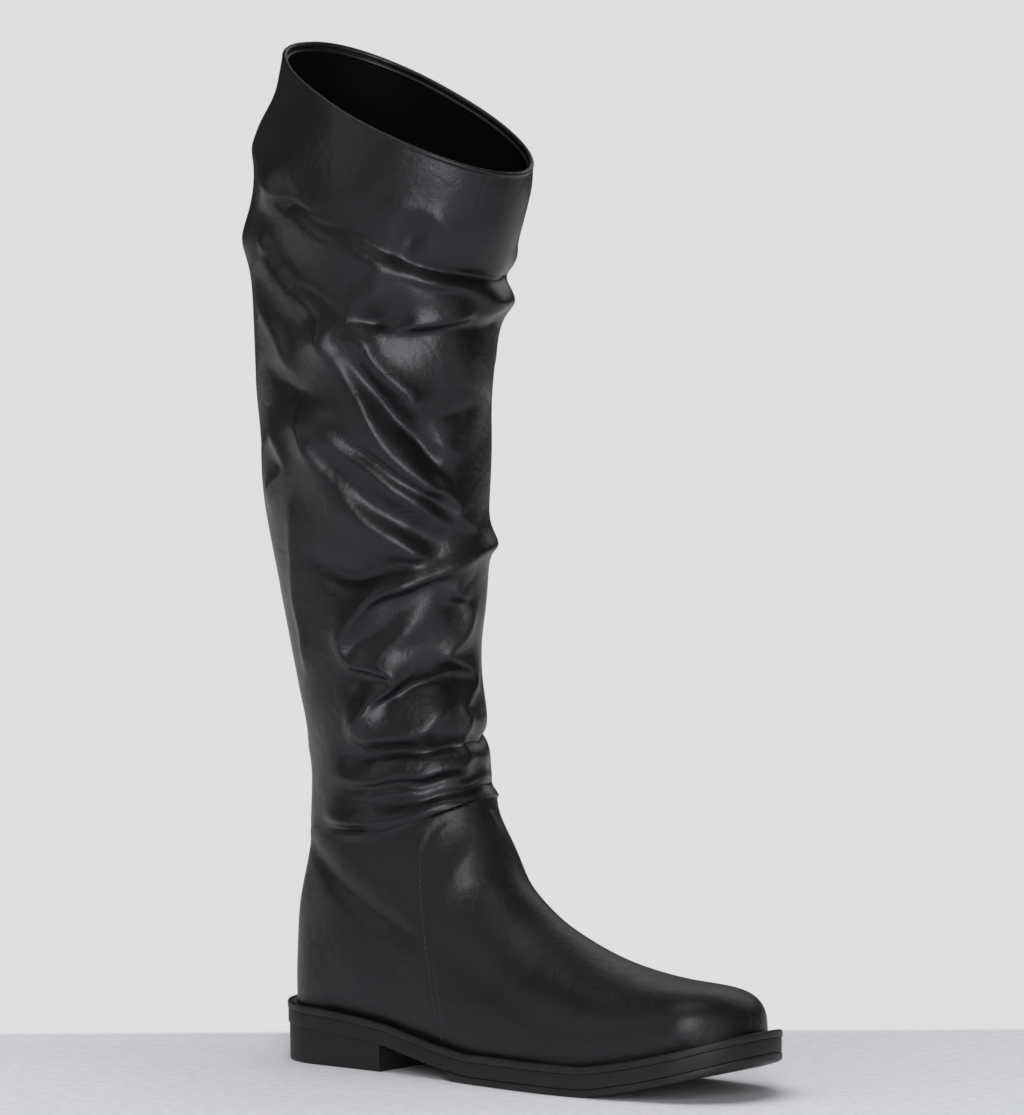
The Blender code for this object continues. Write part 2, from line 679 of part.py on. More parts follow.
def make_pull(pivot, up_zip, across, out, steel, collection):
    """Pull tab with a window round the bridge, turning about the bar at its upper end."""
    axis = bpy.data.objects.new("zip_pull_axis", None)
    axis.location = pivot * MM
    collection.objects.link(axis)
    half, window = PULL_WIDTH / 2, WINDOW_WIDTH / 2
    top, opening = -PULL_BAR / 2, PULL_BAR / 2
    closing, tip = opening + WINDOW_LENGTH, top + PULL_LENGTH
    corner = PULL_CORNER
    border = ((top, -half), (tip - corner, -half), (tip, corner - half), (tip, half - corner),
              (tip - corner, half), (top, half))
    hole = ((opening, -window), (closing, -window), (closing, -window), (closing, window),
            (closing, window), (opening, window))
    loops = []
    for outline, depth in ((border, -0.5), (border, 0.5), (hole, 0.5), (hole, -0.5), (border, -0.5)):
        loops.append([across * v - up_zip * u + out * depth * PULL_THICK for u, v in outline])
    surface = Surface()
    surface.grid(loops, closed=True)
    tab = surface.build("zip_pull", steel, collection)
    tab.parent = axis


def make_zip(foot_rows, leg_rows, panels, collection):
    """Zip on the inner side: a slot through the leather with tape, chain, slider and pull in it."""
    line = ZipLine(foot_rows, leg_rows)
    cloth = material("zip_cloth", (0.012, 0.012, 0.012), 0.9)
    teeth = material("zip_teeth", (0.02, 0.02, 0.021), 0.35)
    steel = material("zip_metal", (0.10, 0.10, 0.105), 0.3, 1.0)
    slot = line.strip(0.0, 1.0, SLOT_WIDTH, 2, SLOT_DEPTH, -SLOT_DEPTH)
    tool = cutter(slot, "zip_slot_tool", cloth)
    for panel in panels:
        combine(panel, tool, "DIFFERENCE")
    behind = -WALL - TAPE_GAP
    tape = line.strip(-0.03, 1.03, TAPE_WIDTH, 7, behind, behind - TAPE_THICK)
    tape.build("zip_tape", cloth, collection)
    chain = line.strip(0.01, 0.99, CHAIN_WIDTH, 2, behind + GAP + CHAIN_THICK, behind + GAP)
    chain.build("zip_chain", teeth, collection)
    centre, up_zip, across, out = line.frame(1 - SLIDER_DROP / (ZIP_HEAD_Z - ZIP_FOOT_Z))
    seat = centre + out * (behind + CHAIN_THICK + 2 * GAP)
    make_slider(seat, up_zip, across, out, steel, collection)
    pivot = seat + out * (SLIDER_THICK + BRIDGE_CLEAR)
    make_pull(pivot, up_zip, across, out, steel, collection)


def main():
    for thing in list(bpy.data.objects):
        bpy.data.objects.remove(thing)
    boot = bpy.data.collections.new("tall_boot")
    bpy.context.scene.collection.children.link(boot)
    rubber = material("sole_rubber", (0.018, 0.018, 0.018), 0.6)
    board = material("insole_board", (0.03, 0.028, 0.026), 0.8)
    leather = material("leather", (0.016, 0.016, 0.017), 0.42)
    make_welt(rubber, boot)
    make_midsole(rubber, boot)
    make_half_sole(rubber, boot)
    make_heel(rubber, boot)
    make_insole(board, boot)
    foot_rows = upper_rows()
    leg_rows = shaft_rows()
    upper = shell("upper", foot_rows, leather, boot)
    trim_upper(upper)
    let_down(upper)
    shaft = shell("shaft", leg_rows, leather, boot)
    trim_shaft(shaft)
    let_down(shaft)
    make_zip(foot_rows, leg_rows, (upper, shaft), boot)


main()
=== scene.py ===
"""Looks of the tall slouch boot: folded leather, welted sole, zip, seams, studio and camera.

Sizes are in millimetres in the boot's frame: +X to the toe, +Y to the inner side, +Z up, floor at 0.
"""
import json
import math
from collections import namedtuple

import bmesh
import bpy
import numpy as np
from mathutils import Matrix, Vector
from mathutils.bvhtree import BVHTree


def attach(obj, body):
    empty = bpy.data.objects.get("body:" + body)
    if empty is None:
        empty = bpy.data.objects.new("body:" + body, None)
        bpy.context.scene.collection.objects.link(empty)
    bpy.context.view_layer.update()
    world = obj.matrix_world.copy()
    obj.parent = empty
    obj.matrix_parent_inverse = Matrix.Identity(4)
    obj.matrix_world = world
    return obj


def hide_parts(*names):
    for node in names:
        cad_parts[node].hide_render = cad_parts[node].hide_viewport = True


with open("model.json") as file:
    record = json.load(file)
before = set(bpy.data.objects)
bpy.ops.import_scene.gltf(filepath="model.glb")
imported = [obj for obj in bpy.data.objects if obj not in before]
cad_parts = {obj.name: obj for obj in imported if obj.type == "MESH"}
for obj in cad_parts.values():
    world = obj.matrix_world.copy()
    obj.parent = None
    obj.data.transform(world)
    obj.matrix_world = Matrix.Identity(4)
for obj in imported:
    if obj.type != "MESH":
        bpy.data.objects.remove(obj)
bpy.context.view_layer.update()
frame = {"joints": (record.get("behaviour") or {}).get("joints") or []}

MM = 0.001
BODY = "boot"
PULL_BODY = "pull"
UPWARD = np.array([0.0, 0.0, 1.0])

# Camera: the photograph's place and lens, turned so that the one boot stands in the middle
CAMERA_SWING = 39.0
CAMERA_RISE = 7.7
CAMERA_DISTANCE = 2200.0
FOCAL_PIXELS = 4625.0
PICTURE_WIDTH = 1024.0
PICTURE_HEIGHT = 1115.0
HEEL_PIXEL = (354.0, 1057.0)

# Plain backdrop and the floor that runs into it, with their lengths in metres
BACKDROP = (0.735, 0.735, 0.73)
BACKDROP_START = 0.085
BACKDROP_WHOLE = 0.10
FLOOR_REACH = 6.0

# Colours of the leather
LEATHER_BLACK = (0.0036, 0.0036, 0.0042)
LEATHER_WORN = (0.0056, 0.0056, 0.0063)
SEAM_BLACK = (0.002, 0.002, 0.002)

# Sole sizes
HEEL_BACK_X = -32.0
HEEL_CENTRE_X = 0.0
HEEL_BREAST_X = 41.0
TOE_START_X = 200.0
TOE_TIP_X = 236.0
TOE_SWELL = 2.5
TOE_SQUARENESS = 2.3
TREAD_START_X = 84.0
WELT_THICK = 3.5
MIDSOLE_THICK = 6.9
TREAD_THICK = 3.4
SOLE_THICK = WELT_THICK + MIDSOLE_THICK + TREAD_THICK
RIM_WIDTH = 1.6
LEDGE_DROP = 0.9
WELT_REACH = 13.0
SOLE_STATIONS = 150
TREAD_STATIONS = 90
HEEL_STATIONS = 70

# Feather line, where the upper meets the welt: its inset grows from a turning place towards the toe
FEATHER_INSET = 4.5
FEATHER_INSET_TOE = 7.0
FEATHER_TURN_X = 150.0
FEATHER_TURN_LENGTH = 90.0
FEATHER_LIFT = 0.05
FEATHER_STEPS = 300

# Insole: its thickness and how far it keeps clear of the lining, more at the toe and the heel
INSOLE_THICK = 3.3
SOCK_CLEAR = 1.0
SOCK_CLEAR_TOE = 1.8
SOCK_TOE_X = 180.0
SOCK_TOE_LENGTH = 40.0
SOCK_CLEAR_HEEL = 1.2
SOCK_HEEL_LENGTH = 12.0
SOCK_STATIONS = 90
SOCK_TIP_STEPS = 20

# Leather of the foot
WALL = 2.0
SECTION_STEPS = 1200
SECTION_CROWDING = 1.5
FOOT_FULLNESS = 2.2
UPPER_SIDE_POINTS = 110
TOE_ROWS = 48
TOE_OUT_POWER = 0.8
TOE_UP_POWER = 0.75
VAMP_ROWS = 150
HEEL_ROWS = 36
BACK_ROWS = 50
EASE_PASSES = 160
FEATHER_FADE = 10.0
UPPER_SEAM_FADE = 6.0
SIDE_BLEND = 4.0
VAMP_SEAM_Y = -4.0
FAR_FROM_SEAM = 50.0

# Heel cup: the short series fitted to its radius, and where that blends into the rest
CUP_SCALE = 50.0
CUP_SERIES = 4
CUP_FIT_X = 16.0
CUP_FIT_Z = 88.0
CUP_FRONT_X = 12.0
CUP_BLEND_X = 14.0
CUP_TOP_Z = 86.0
CUP_BLEND_Z = 24.0

# Ankle and instep: the short series fitted to their half-width, and where that blends into the rest
ANKLE_X = 40.0
ANKLE_Z = 80.0
ANKLE_SCALE_X = 60.0
ANKLE_SCALE_Z = 50.0
ANKLE_SERIES = 7
ANKLE_FIT_BACK_X = -14.0
ANKLE_FIT_FRONT_X = 104.0
ANKLE_FIT_LOW_Z = 28.0
ANKLE_BACK_X = -4.0
ANKLE_FRONT_X = 98.0
ANKLE_LOW_Z = 31.0
ANKLE_BLEND_X = 14.0
ANKLE_BLEND_Z = 9.0
ANKLE_BLEND_SEAM = 4.0
ANKLE_BLEND_CROWN = 6.0

# Leather of the shaft
SHAFT_SIDE_POINTS = 140
SHAFT_ROWS = 320
SHAFT_EASE_PASSES = 60
ROWS_CLOSER_BELOW = 1.1
AROUND_PER_DEGREE = 0.95
SEAM_FADE = 5.0
SEAM_TUCK = 1.4
FOLD_REACH = 4.5
FOLD_SLUMP = 0.45
CREST_PASSES = 2
COLLAR_TILT = 5.0
COLLAR_FADE = 30.0
COLLAR_SHARE = 0.25
COLLAR_ROLL = 2.2
COLLAR_STEPS = 9

# Turned leather inside the collar: a groove, then a second fine roll; distances inward and down
COLLAR_FACING = ((0.0, 0.9), (-0.7, 1.5), (-0.8, 2.0), (0.0, 2.3),
                 (0.4, 2.9), (0.3, 3.6), (-0.4, 4.3), (-0.9, 4.8))

# Sag of the ankle seam on the outer side
SEAM_SAG = 8.0
SAG_ABOVE = 17.0
SAG_BELOW = 45.0
SAG_SIDE_POWER = 1.5
SAG_BACK_X = -10.0
SAG_BLEND_X = 55.0
SAG_LEAST_STEEP = 0.3

# Lining: coarser than the leather, and just inside the wall
LINING_STEP = 2
LINING_EASE_PASSES = 6
LINING_DEPTH = WALL - 0.1
LINING_ROWS_OFF = 2

# Fields of gentle waves that make the folds wander and the leather uneven
Wave = namedtuple("Wave", "height length seed")
WANDER_ROUND = Wave(0.7, 34, 11)
WANDER_UP = Wave(0.7, 34, 12)
SHAFT_UNEVEN = Wave(0.5, 42, 13)
UPPER_UNEVEN = Wave(0.35, 46, 21)
UNEVEN_SKEW = 0.6
WAVE_COUNT = 7

# Zip sizes
ZIP_FOOT_X = 63.0
ZIP_FOOT_Z = 40.0
ZIP_HEAD_X = 27.0
ZIP_HEAD_Z = 178.0
ZIP_LENGTH = math.hypot(ZIP_HEAD_X - ZIP_FOOT_X, ZIP_HEAD_Z - ZIP_FOOT_Z)
ZIP_FACES = Vector((0.0753, 0.9964, -0.0385))
SLOT_WIDTH = 9.0
SLOT_MARGIN = 4.0
SLOT_LEAST_Y = 10.0
TAPE_WIDTH = 20.0
TAPE_THICK = 0.7
TAPE_DEPTH = 2.6
TAPE_PAST_ENDS = 0.03
TAPE_ROWS = 90
TAPE_COLUMNS = 13
PIPING_RADIUS = 0.9
PIPING_SUNK = 0.75
PIPING_SIDES = 8
EDGE_POINTS = 120
END_POINTS = 12
SLIDER_LENGTH = 12.0
SLIDER_WIDTH = 7.4
SLIDER_THICK = 2.4
SLIDER_BEVEL = 0.22
BRIDGE_WIDTH = 2.4
BRIDGE_REACH = 3.6
BRIDGE_CLEAR = 1.4
BRIDGE_BAR = 1.0
PULL_LENGTH = 17.0
PULL_WIDTH = 6.4
PULL_THICK = 1.2
PULL_BAR = 1.6
PULL_CORNER = 0.86
PULL_POINTS = 40
PULL_BEVEL = 0.2
WINDOW_WIDTH = 3.6
WINDOW_LENGTH = 5.4

# Teeth: where the chain lies, a tooth's rings (distance from the middle, swell) and their outline
CHAIN_DEPTH = 2.2
CHAIN_LIFT = 0.85
CHAIN_START = 0.01
CHAIN_SHARE = 0.98
TOOTH_PITCH = 1.15
TOOTH_RUN = 1.3
TOOTH_HEIGHT = 1.5
TOOTH_RINGS = ((-0.55, 0.8), (-0.2, 1.0), (1.6, 1.0), (2.5, 0.75))
TOOTH_OUTLINE = ((-0.30, 0.0), (-0.42, 0.5), (-0.30, 1.0), (0.30, 1.0), (0.42, 0.5), (0.30, 0.0))

# Stitches: their rings (place along the stitch, girth) and the rows beside the vamp seam and the zip
STITCH_SIDES = 6
STITCH_RINGS = ((-0.5, 0.3), (-0.36, 0.9), (0.0, 1.0), (0.36, 0.9), (0.5, 0.3))
VAMP_STITCH_START = 5.0
VAMP_STITCH_END = 92.0
VAMP_STITCH_PITCH = 2.6
VAMP_STITCH_BESIDE = 1.5
VAMP_STITCH_LIFT = 0.02
VAMP_STITCH_LENGTH = 1.9
VAMP_STITCH_RADIUS = 0.27
ZIP_STITCH_PITCH = 2.8
ZIP_STITCH_BESIDE = 2.2
ZIP_STITCH_LENGTH = 2.0
ZIP_STITCH_RADIUS = 0.26

# Rays that find the leather start well outside the boot; one that slips through the ankle seam is moved up
RAY_START = 200.0
SEAM_SKIP = 0.8

# Half-widths of the welt's outer edge along the foot
OutlineRow = namedtuple("OutlineRow", "x outer inner")
OUTLINE = (
    OutlineRow(-40, 31.0, 30.5),
    OutlineRow(0, 32.0, 31.5),
    OutlineRow(40, 33.5, 30.0),
    OutlineRow(75, 37.0, 27.0),
    OutlineRow(110, 42.5, 32.0),
    OutlineRow(150, 46.0, 40.5),
    OutlineRow(175, 44.0, 42.0),
    OutlineRow(200, 38.5, 39.5),
    OutlineRow(245, 29.0, 32.0),
)

# Height of the welt's rim along the foot
HeightRow = namedtuple("HeightRow", "x top")
SOLE_TOP = (
    HeightRow(-40, 28.8),
    HeightRow(0, 27.0),
    HeightRow(41, 23.2),
    HeightRow(60, 19.4),
    HeightRow(80, 15.8),
    HeightRow(100, SOLE_THICK),
    HeightRow(130, SOLE_THICK),
    HeightRow(162, SOLE_THICK),
    HeightRow(182, 16.6),
    HeightRow(202, 21.0),
    HeightRow(222, 26.6),
    HeightRow(242, 33.0),
)

# Sections of the upper from the vamp to the ankle seam, each from its crown down to its foot
Section = namedtuple("Section", "crown_x crown_z foot_x foot_z outer inner widest fullness")
ON_FEATHER = None
ANKLE_SEAM = Section(80.5, 129.0, -19.0, 108.0, 33.0, 32.0, 0.46, 2.0)
UPPER_SECTIONS = (
    Section(200, 49.5, 200, ON_FEATHER, 33.5, 34.5, 0.70, 2.5),
    Section(185, 50.5, 185, ON_FEATHER, 38.0, 37.5, 0.72, 2.3),
    Section(160, 55.5, 160, ON_FEATHER, 42.0, 38.0, 0.74, 2.1),
    Section(136, 64.0, 132, ON_FEATHER, 42.0, 35.5, 0.75, 2.0),
    Section(114, 76.5, 104, ON_FEATHER, 39.5, 31.5, 0.70, 2.0),
    Section(99, 92.0, 78, ON_FEATHER, 37.0, 31.0, 0.62, 2.0),
    Section(90.5, 106.0, 50, ON_FEATHER, 36.0, 32.0, 0.56, 2.0),
    Section(86.5, 115.5, 20, ON_FEATHER, 35.5, 33.0, 0.52, 2.0),
    Section(84.5, 121.0, -8, ON_FEATHER, 35.0, 33.0, 0.50, 2.0),
    Section(83.5, 124.0, -27.5, ON_FEATHER, 34.5, 32.5, 0.48, 2.0),
    Section(82.5, 126.0, -29.5, 50.0, 34.0, 32.5, 0.47, 2.0),
    Section(81.5, 127.5, -26, 77.0, 33.5, 32.0, 0.46, 2.0),
    ANKLE_SEAM,
)

# Sections of the shaft, from the ankle seam to the collar
SHAFT_SECTIONS = (
    ANKLE_SEAM,
    Section(74, 160.0, -17, 141.0, 34.0, 34.0, 0.48, 2.0),
    Section(69, 190.0, -24.5, 176.0, 36.0, 36.0, 0.50, 2.0),
    Section(71.5, 226.0, -32.5, 216.0, 39.5, 39.5, 0.50, 2.0),
    Section(72.5, 266.0, -42.0, 258.0, 43.5, 43.5, 0.50, 2.0),
    Section(73.5, 302.0, -45.5, 298.0, 45.5, 45.5, 0.50, 2.0),
    Section(76, 340.0, -48.0, 344.0, 47.0, 47.0, 0.50, 2.0),
    Section(84, 374.0, -47.0, 398.0, 50.0, 50.0, 0.50, 2.0),
    Section(92, 396.0, -45.0, 440.0, 51.5, 51.5, 0.50, 2.0),
    Section(96.0, 410.0, -34.0, 464.0, 50.0, 50.0, 0.50, 2.0),
    Section(97.0, 416.0, -30.0, 483.5, 49.0, 49.0, 0.50, 2.0),
)

# Folds of the shaft. A path's places are degrees round the leg (0 front, -90 outer side, 90 inner side)
# and height. The crest stands out from the leg, or in if negative. Left and right are how far the fold's
# flanks reach on each side of its path, round is the radius of its crest, and over the length fade its
# ends die out.
Fold = namedtuple("Fold", "crest left right round fade path")
FOLDS = (
    # Long tuck under the collar, from the back over the outer side to the roll at the front
    Fold(2.4, 7, 9, 3, 20, ((-184, 440), (-165, 437), (-148, 432), (-134, 426), (-124, 419))),
    Fold(6.4, 4, 9, 2.0, 24, ((-140, 430), (-132, 426), (-119, 415), (-95, 400), (-71, 388), (-49, 376),
         (-29, 368), (-3, 365))),
    Fold(-7.0, 5, 2.4, 1.2, 18, ((-122, 411), (-116, 409), (-103, 403), (-74, 390), (-51, 379), (-28, 371),
         (3, 368), (25, 369), (45, 374))),
    Fold(-2.9, 3, 4, 1.0, 20, ((-57, 372), (-45, 370), (-36, 366), (-25, 363), (-12, 360), (-1, 360))),
    Fold(2.5, 7, 7, 5, 20, ((-71, 365), (-63, 361), (-54, 361), (-47, 363))),
    Fold(-3.4, 8, 8, 5, 20, ((-54, 389), (-46, 388), (-34, 387))),
    Fold(1.8, 4, 4, 2, 20, ((-60, 408), (-52, 401), (-40, 399), (-30, 393), (-27, 386), (-29, 378))),
    # Second tuck and the roll at the front
    Fold(6.2, 4, 8, 2.0, 20, ((-128, 404), (-126, 392), (-119, 382), (-107, 372), (-94, 364), (-82, 356),
         (-63, 343), (-57, 333), (-50, 326), (-44, 322), (-38, 317), (-36, 310), (-35, 303), (-32, 295))),
    Fold(-6.2, 6, 2.8, 1.3, 24, ((-132, 391), (-117, 380), (-103, 370), (-90, 363), (-79, 355), (-69, 349),
         (-59, 348), (-48, 350), (-34, 351))),
    Fold(3.0, 4, 3, 1.4, 20, ((-55, 344), (-47, 347), (-26, 350), (-6, 354), (2, 358))),
    Fold(-3.2, 2.5, 6, 1.0, 20, ((-51, 341), (-40, 343), (-17, 346), (-3, 348), (16, 351), (34, 353))),
    Fold(6.0, 7, 7, 4, 20, ((-14, 361), (-4, 363), (10, 362), (30, 363), (50, 366))),
    # Swell and creases at the front below it
    Fold(2.0, 12, 12, 6, 20, ((5, 347), (-5, 334), (-15, 323), (-14, 312))),
    Fold(-2.4, 2.5, 3.5, 1.2, 20, ((-28, 303), (-12, 308), (6, 311))),
    Fold(1.5, 5, 5, 2, 20, ((-33, 295), (-22, 292), (-14, 289), (-9, 282))),
    # Long folds that sweep down from the outer side to the front
    Fold(7.0, 4, 12, 2.0, 14, ((-86, 356), (-84, 350), (-81, 344), (-73, 332), (-62, 316), (-56, 304),
         (-51, 295), (-44, 287), (-29, 275), (-18, 268))),
    Fold(-5.6, 5, 4, 2.4, 24, ((-80, 342), (-62, 323), (-53, 313), (-44, 303), (-34, 292), (-24, 280),
         (-12, 272))),
    Fold(3.2, 5, 3, 1.0, 20, ((-58, 311), (-50, 301), (-42, 292), (-32, 281), (-24, 274), (-12, 265),
         (-11, 260), (-2, 254), (8, 250))),
    Fold(4.8, 4, 7, 2.5, 16, ((-98, 309), (-90, 304), (-85, 301), (-75, 295), (-57, 282), (-40, 271),
         (-20, 258), (-10, 254))),
    Fold(-4.0, 3, 3, 1.0, 24, ((-80, 302), (-64, 291), (-47, 280), (-31, 270), (-22, 263), (-8, 256))),
    Fold(7.6, 4.5, 13, 2.2, 14, ((-101, 317), (-97, 309), (-93, 298), (-89, 291), (-84, 283), (-75, 275),
         (-58, 258), (-39, 246), (-25, 237))),
    Fold(-4.4, 6, 4, 3, 24, ((-93, 295), (-82, 283), (-68, 271), (-53, 260), (-36, 251), (-12, 247))),
    # Crease under them and the long winding fold down to the ankle
    Fold(-6.0, 7, 3, 1.2, 34, ((-110, 244), (-103, 240), (-89, 232), (-73, 230), (-59, 232), (-45, 235),
         (-30, 239), (-16, 243))),
    Fold(6.2, 6.5, 4, 2.0, 20, ((36, 255), (18, 249), (0, 244), (-13, 239), (-25, 234), (-37, 230),
         (-49, 228), (-59, 225), (-70, 218), (-77, 212), (-82, 205), (-84, 199), (-80, 194), (-69, 192),
         (-60, 190), (-53, 187), (-54, 181), (-63, 176), (-74, 170), (-83, 165), (-92, 157), (-94, 150))),
    Fold(-3.2, 3, 6, 1.2, 20, ((-72, 217), (-57, 220), (-40, 225), (-23, 230), (-6, 236))),
    Fold(-2.2, 3, 9, 2.5, 20, ((-92, 184), (-78, 185), (-62, 185))),
    Fold(2.0, 10, 10, 6, 20, ((-50, 214), (-44, 206), (-40, 198))),
    Fold(-5.2, 3, 5, 1.5, 20, ((-80, 168), (-64, 173), (-47, 179), (-31, 183), (-13, 186), (11, 187))),
    Fold(4.5, 10, 4, 2.5, 20, ((-90, 155), (-72, 157), (-54, 158), (-40, 161), (-27, 169), (-13, 179))),
    # Zigzag fold down the front
    Fold(3.8, 5, 5, 1.8, 20, ((-12, 240), (-13, 229), (-12, 224), (-5, 219), (-2, 213), (-7, 205),
         (-13, 200), (-17, 195), (-12, 191), (-6, 189), (3, 187), (3, 182), (-3, 177), (-10, 170),
         (-7, 164), (-11, 157), (-10, 151), (-13, 145), (-9, 139))),
    Fold(-3.6, 3, 4, 1.2, 20, ((-28, 215), (-14, 219), (5, 220))),
    # Rolls piled on the ankle
    Fold(-5.2, 2.8, 3.2, 1.4, 55, ((-116, 146), (-98, 147), (-72, 149), (-54, 150), (-32, 152), (-10, 154),
         (10, 155), (40, 157), (70, 158))),
    Fold(1.6, 3, 3, 1.5, 20, ((-96, 146), (-80, 146), (-56, 147), (-39, 149), (-20, 149))),
    Fold(2.8, 4, 2.2, 1.4, 40, ((-124, 134), (-104, 137), (-90, 138), (-69, 139), (-54, 140), (-37, 142),
         (-18, 144), (4, 145))),
    Fold(-4.4, 2.2, 2.4, 1.2, 50, ((-112, 133), (-96, 134), (-74, 136), (-60, 137), (-44, 138), (-28, 139),
         (-12, 139), (14, 139))),
    Fold(2.0, 2.2, 2.2, 1.2, 20, ((-100, 131), (-78, 133), (-64, 134), (-52, 134), (-35, 135))),
    Fold(-4.4, 2.2, 2.6, 1.2, 50, ((-112, 128), (-96, 129), (-74, 131), (-60, 131), (-47, 132), (-32, 133),
         (-12, 133), (20, 134), (48, 134))),
    Fold(4.0, 4, 6, 3, 36, ((-132, 114), (-118, 118), (-102, 122), (-83, 124), (-67, 124), (-52, 125),
         (-39, 127), (-24, 129), (-10, 130))),
    Fold(-3.0, 6, 6, 4, 20, ((-20, 140), (0, 141), (40, 141))),
    # Back of the leg, outer side
    Fold(5.5, 12, 12, 6, 20, ((-186, 386), (-166, 389), (-150, 392), (-130, 398))),
    Fold(3.5, 5, 9, 1.2, 20, ((-136, 370), (-129, 362), (-115, 346), (-104, 329), (-95, 320))),
    Fold(-3.4, 5, 4, 2, 30, ((-134, 334), (-112, 322), (-95, 315), (-78, 308))),
    Fold(3.2, 7, 5, 1.2, 20, ((-128, 312), (-117, 299), (-108, 287), (-110, 281), (-120, 276), (-131, 269),
         (-142, 262))),
    Fold(2.6, 8, 4, 1.0, 20, ((-107, 276), (-111, 253), (-116, 237), (-120, 221), (-121, 197),
         (-124, 180))),
    # Back and inner side
    Fold(-3.0, 8, 8, 5, 48, ((150, 352), (182, 350), (214, 352))),
    Fold(3.0, 9, 9, 5, 48, ((142, 300), (176, 291), (212, 298))),
    Fold(-3.0, 8, 8, 5, 48, ((148, 240), (180, 231), (212, 240))),
    Fold(2.6, 7, 7, 4, 48, ((140, 222), (176, 214), (216, 226))),
    Fold(-2.5, 7, 7, 4, 48, ((150, 168), (180, 164), (222, 168))),
    Fold(2.2, 6, 6, 4, 48, ((138, 150), (176, 146), (226, 152))),
    Fold(5.2, 9, 5, 1.6, 36, ((120, 424), (94, 415), (72, 406), (54, 394), (38, 380), (24, 370))),
    Fold(-2.2, 9, 6, 3, 48, ((118, 434), (92, 424), (68, 414), (50, 402), (36, 386))),
    Fold(-3.8, 8, 4, 2, 44, ((156, 368), (128, 354), (100, 345), (76, 341), (50, 344), (30, 350))),
    Fold(4.8, 5, 9, 1.6, 40, ((150, 352), (122, 339), (96, 331), (70, 328), (44, 331), (24, 336))),
    Fold(3.6, 7, 9, 1.4, 48, ((72, 322), (62, 300), (52, 276), (42, 254), (36, 240))),
    Fold(-2.6, 8, 8, 4, 48, ((90, 318), (80, 296), (70, 272), (60, 250))),
    Fold(3.0, 7, 9, 2, 48, ((128, 298), (108, 282), (92, 262), (84, 244))),
    Fold(-2.6, 8, 8, 4, 48, ((138, 282), (120, 266), (106, 248))),
    Fold(5.4, 9, 4, 1.6, 40, ((168, 199), (140, 202), (112, 204), (84, 206), (56, 209), (32, 214))),
    Fold(-3.4, 4, 6, 2, 44, ((160, 191), (136, 194), (110, 195), (84, 196), (56, 199), (34, 204))),
    Fold(2.0, 9, 9, 6, 48, ((120, 236), (96, 228), (70, 230))),
)

# Side view of the seam between vamp and quarter, on the outer side
SeamPoint = namedtuple("SeamPoint", "x z")
VAMP_SEAM = (
    SeamPoint(82.0, 12.0),
    SeamPoint(78.5, 32.0),
    SeamPoint(74.0, 54.0),
    SeamPoint(69.0, 77.0),
    SeamPoint(65.0, 96.0),
    SeamPoint(64.0, 105.0),
    SeamPoint(66.5, 113.5),
    SeamPoint(71.5, 120.0),
    SeamPoint(77.0, 125.0),
)

# Soft dents and swells of the upper: place, reach along and up, turn of the long axis, depth
Dent = namedtuple("Dent", "x z side along up lean depth")
DENTS = (
    Dent(28, 84, -1, 34, 5, -28, -2.6),
    Dent(40, 96, -1, 26, 7, -24, 1.0),
    Dent(-8, 92, -1, 10, 14, 10, -0.8),
    Dent(92, 92, -1, 10, 22, -30, -1.2),
    Dent(84, 108, -1, 6, 16, -24, 1.2),
    Dent(100, 70, -1, 30, 10, -34, -0.8),
    Dent(150, 44, -1, 20, 10, -8, -0.5),
    Dent(20, 90, 1, 30, 8, -24, -1.2),
    Dent(96, 88, 1, 12, 22, -34, -1.0),
)


def along(rows, column, x):
    """Value of a table's column at x, by a smooth curve that never overshoots its rows."""
    xs = np.array([row[0] for row in rows], dtype=float)
    ys = np.array([getattr(row, column) for row in rows], dtype=float)
    rise = np.diff(ys) / np.diff(xs)
    before, after = rise[:-1], rise[1:]
    same_way = before * after > 0
    inner = np.where(same_way, 2 * before * after / np.where(same_way, before + after, 1), 0)
    slopes = np.concatenate([[rise[0]], inner, [rise[-1]]])
    i = np.clip(np.searchsorted(xs, x) - 1, 0, len(xs) - 2)
    span = xs[i + 1] - xs[i]
    t = (x - xs[i]) / span
    return ((1 + 2 * t) * (1 - t) ** 2 * ys[i] + t * (1 - t) ** 2 * span * slopes[i]
            + t * t * (3 - 2 * t) * ys[i + 1] + t * t * (t - 1) * span * slopes[i + 1])


def half_width(side, x, inset):
    """Half-width of the sole's outline on one side, drawn in by an inset and rounded at heel and toe."""
    back = np.clip((HEEL_CENTRE_X - x) / (HEEL_CENTRE_X - HEEL_BACK_X - inset), 0, 1)
    tip = np.clip((x - TOE_START_X) / (TOE_TIP_X - inset - TOE_START_X), 0, 1)
    rounding = np.sqrt(1 - back ** 2) * (1 - tip ** TOE_SWELL) ** (1 / TOE_SQUARENESS)
    return (along(OUTLINE, side, x) - inset) * rounding


def feather_inset(x):
    """How far the upper's foot stands in from the welt's outer edge."""
    towards_toe = np.clip((x - FEATHER_TURN_X) / FEATHER_TURN_LENGTH, 0, 1)
    return FEATHER_INSET + (FEATHER_INSET_TOE - FEATHER_INSET) * towards_toe


def wall_inset(x):
    """How far the insole stands in, just clear of the lining."""
    toe = SOCK_CLEAR_TOE * np.clip((x - SOCK_TOE_X) / SOCK_TOE_LENGTH, 0, 1)
    heel = SOCK_CLEAR_HEEL * np.clip(-x / SOCK_HEEL_LENGTH, 0, 1)
    return feather_inset(x) + WALL + SOCK_CLEAR + toe + heel


def sole_top(x):
    return along(SOLE_TOP, "top", x)


def ledge_z(x):
    return sole_top(x) - LEDGE_DROP


def feather_z(x):
    return ledge_z(x) + FEATHER_LIFT


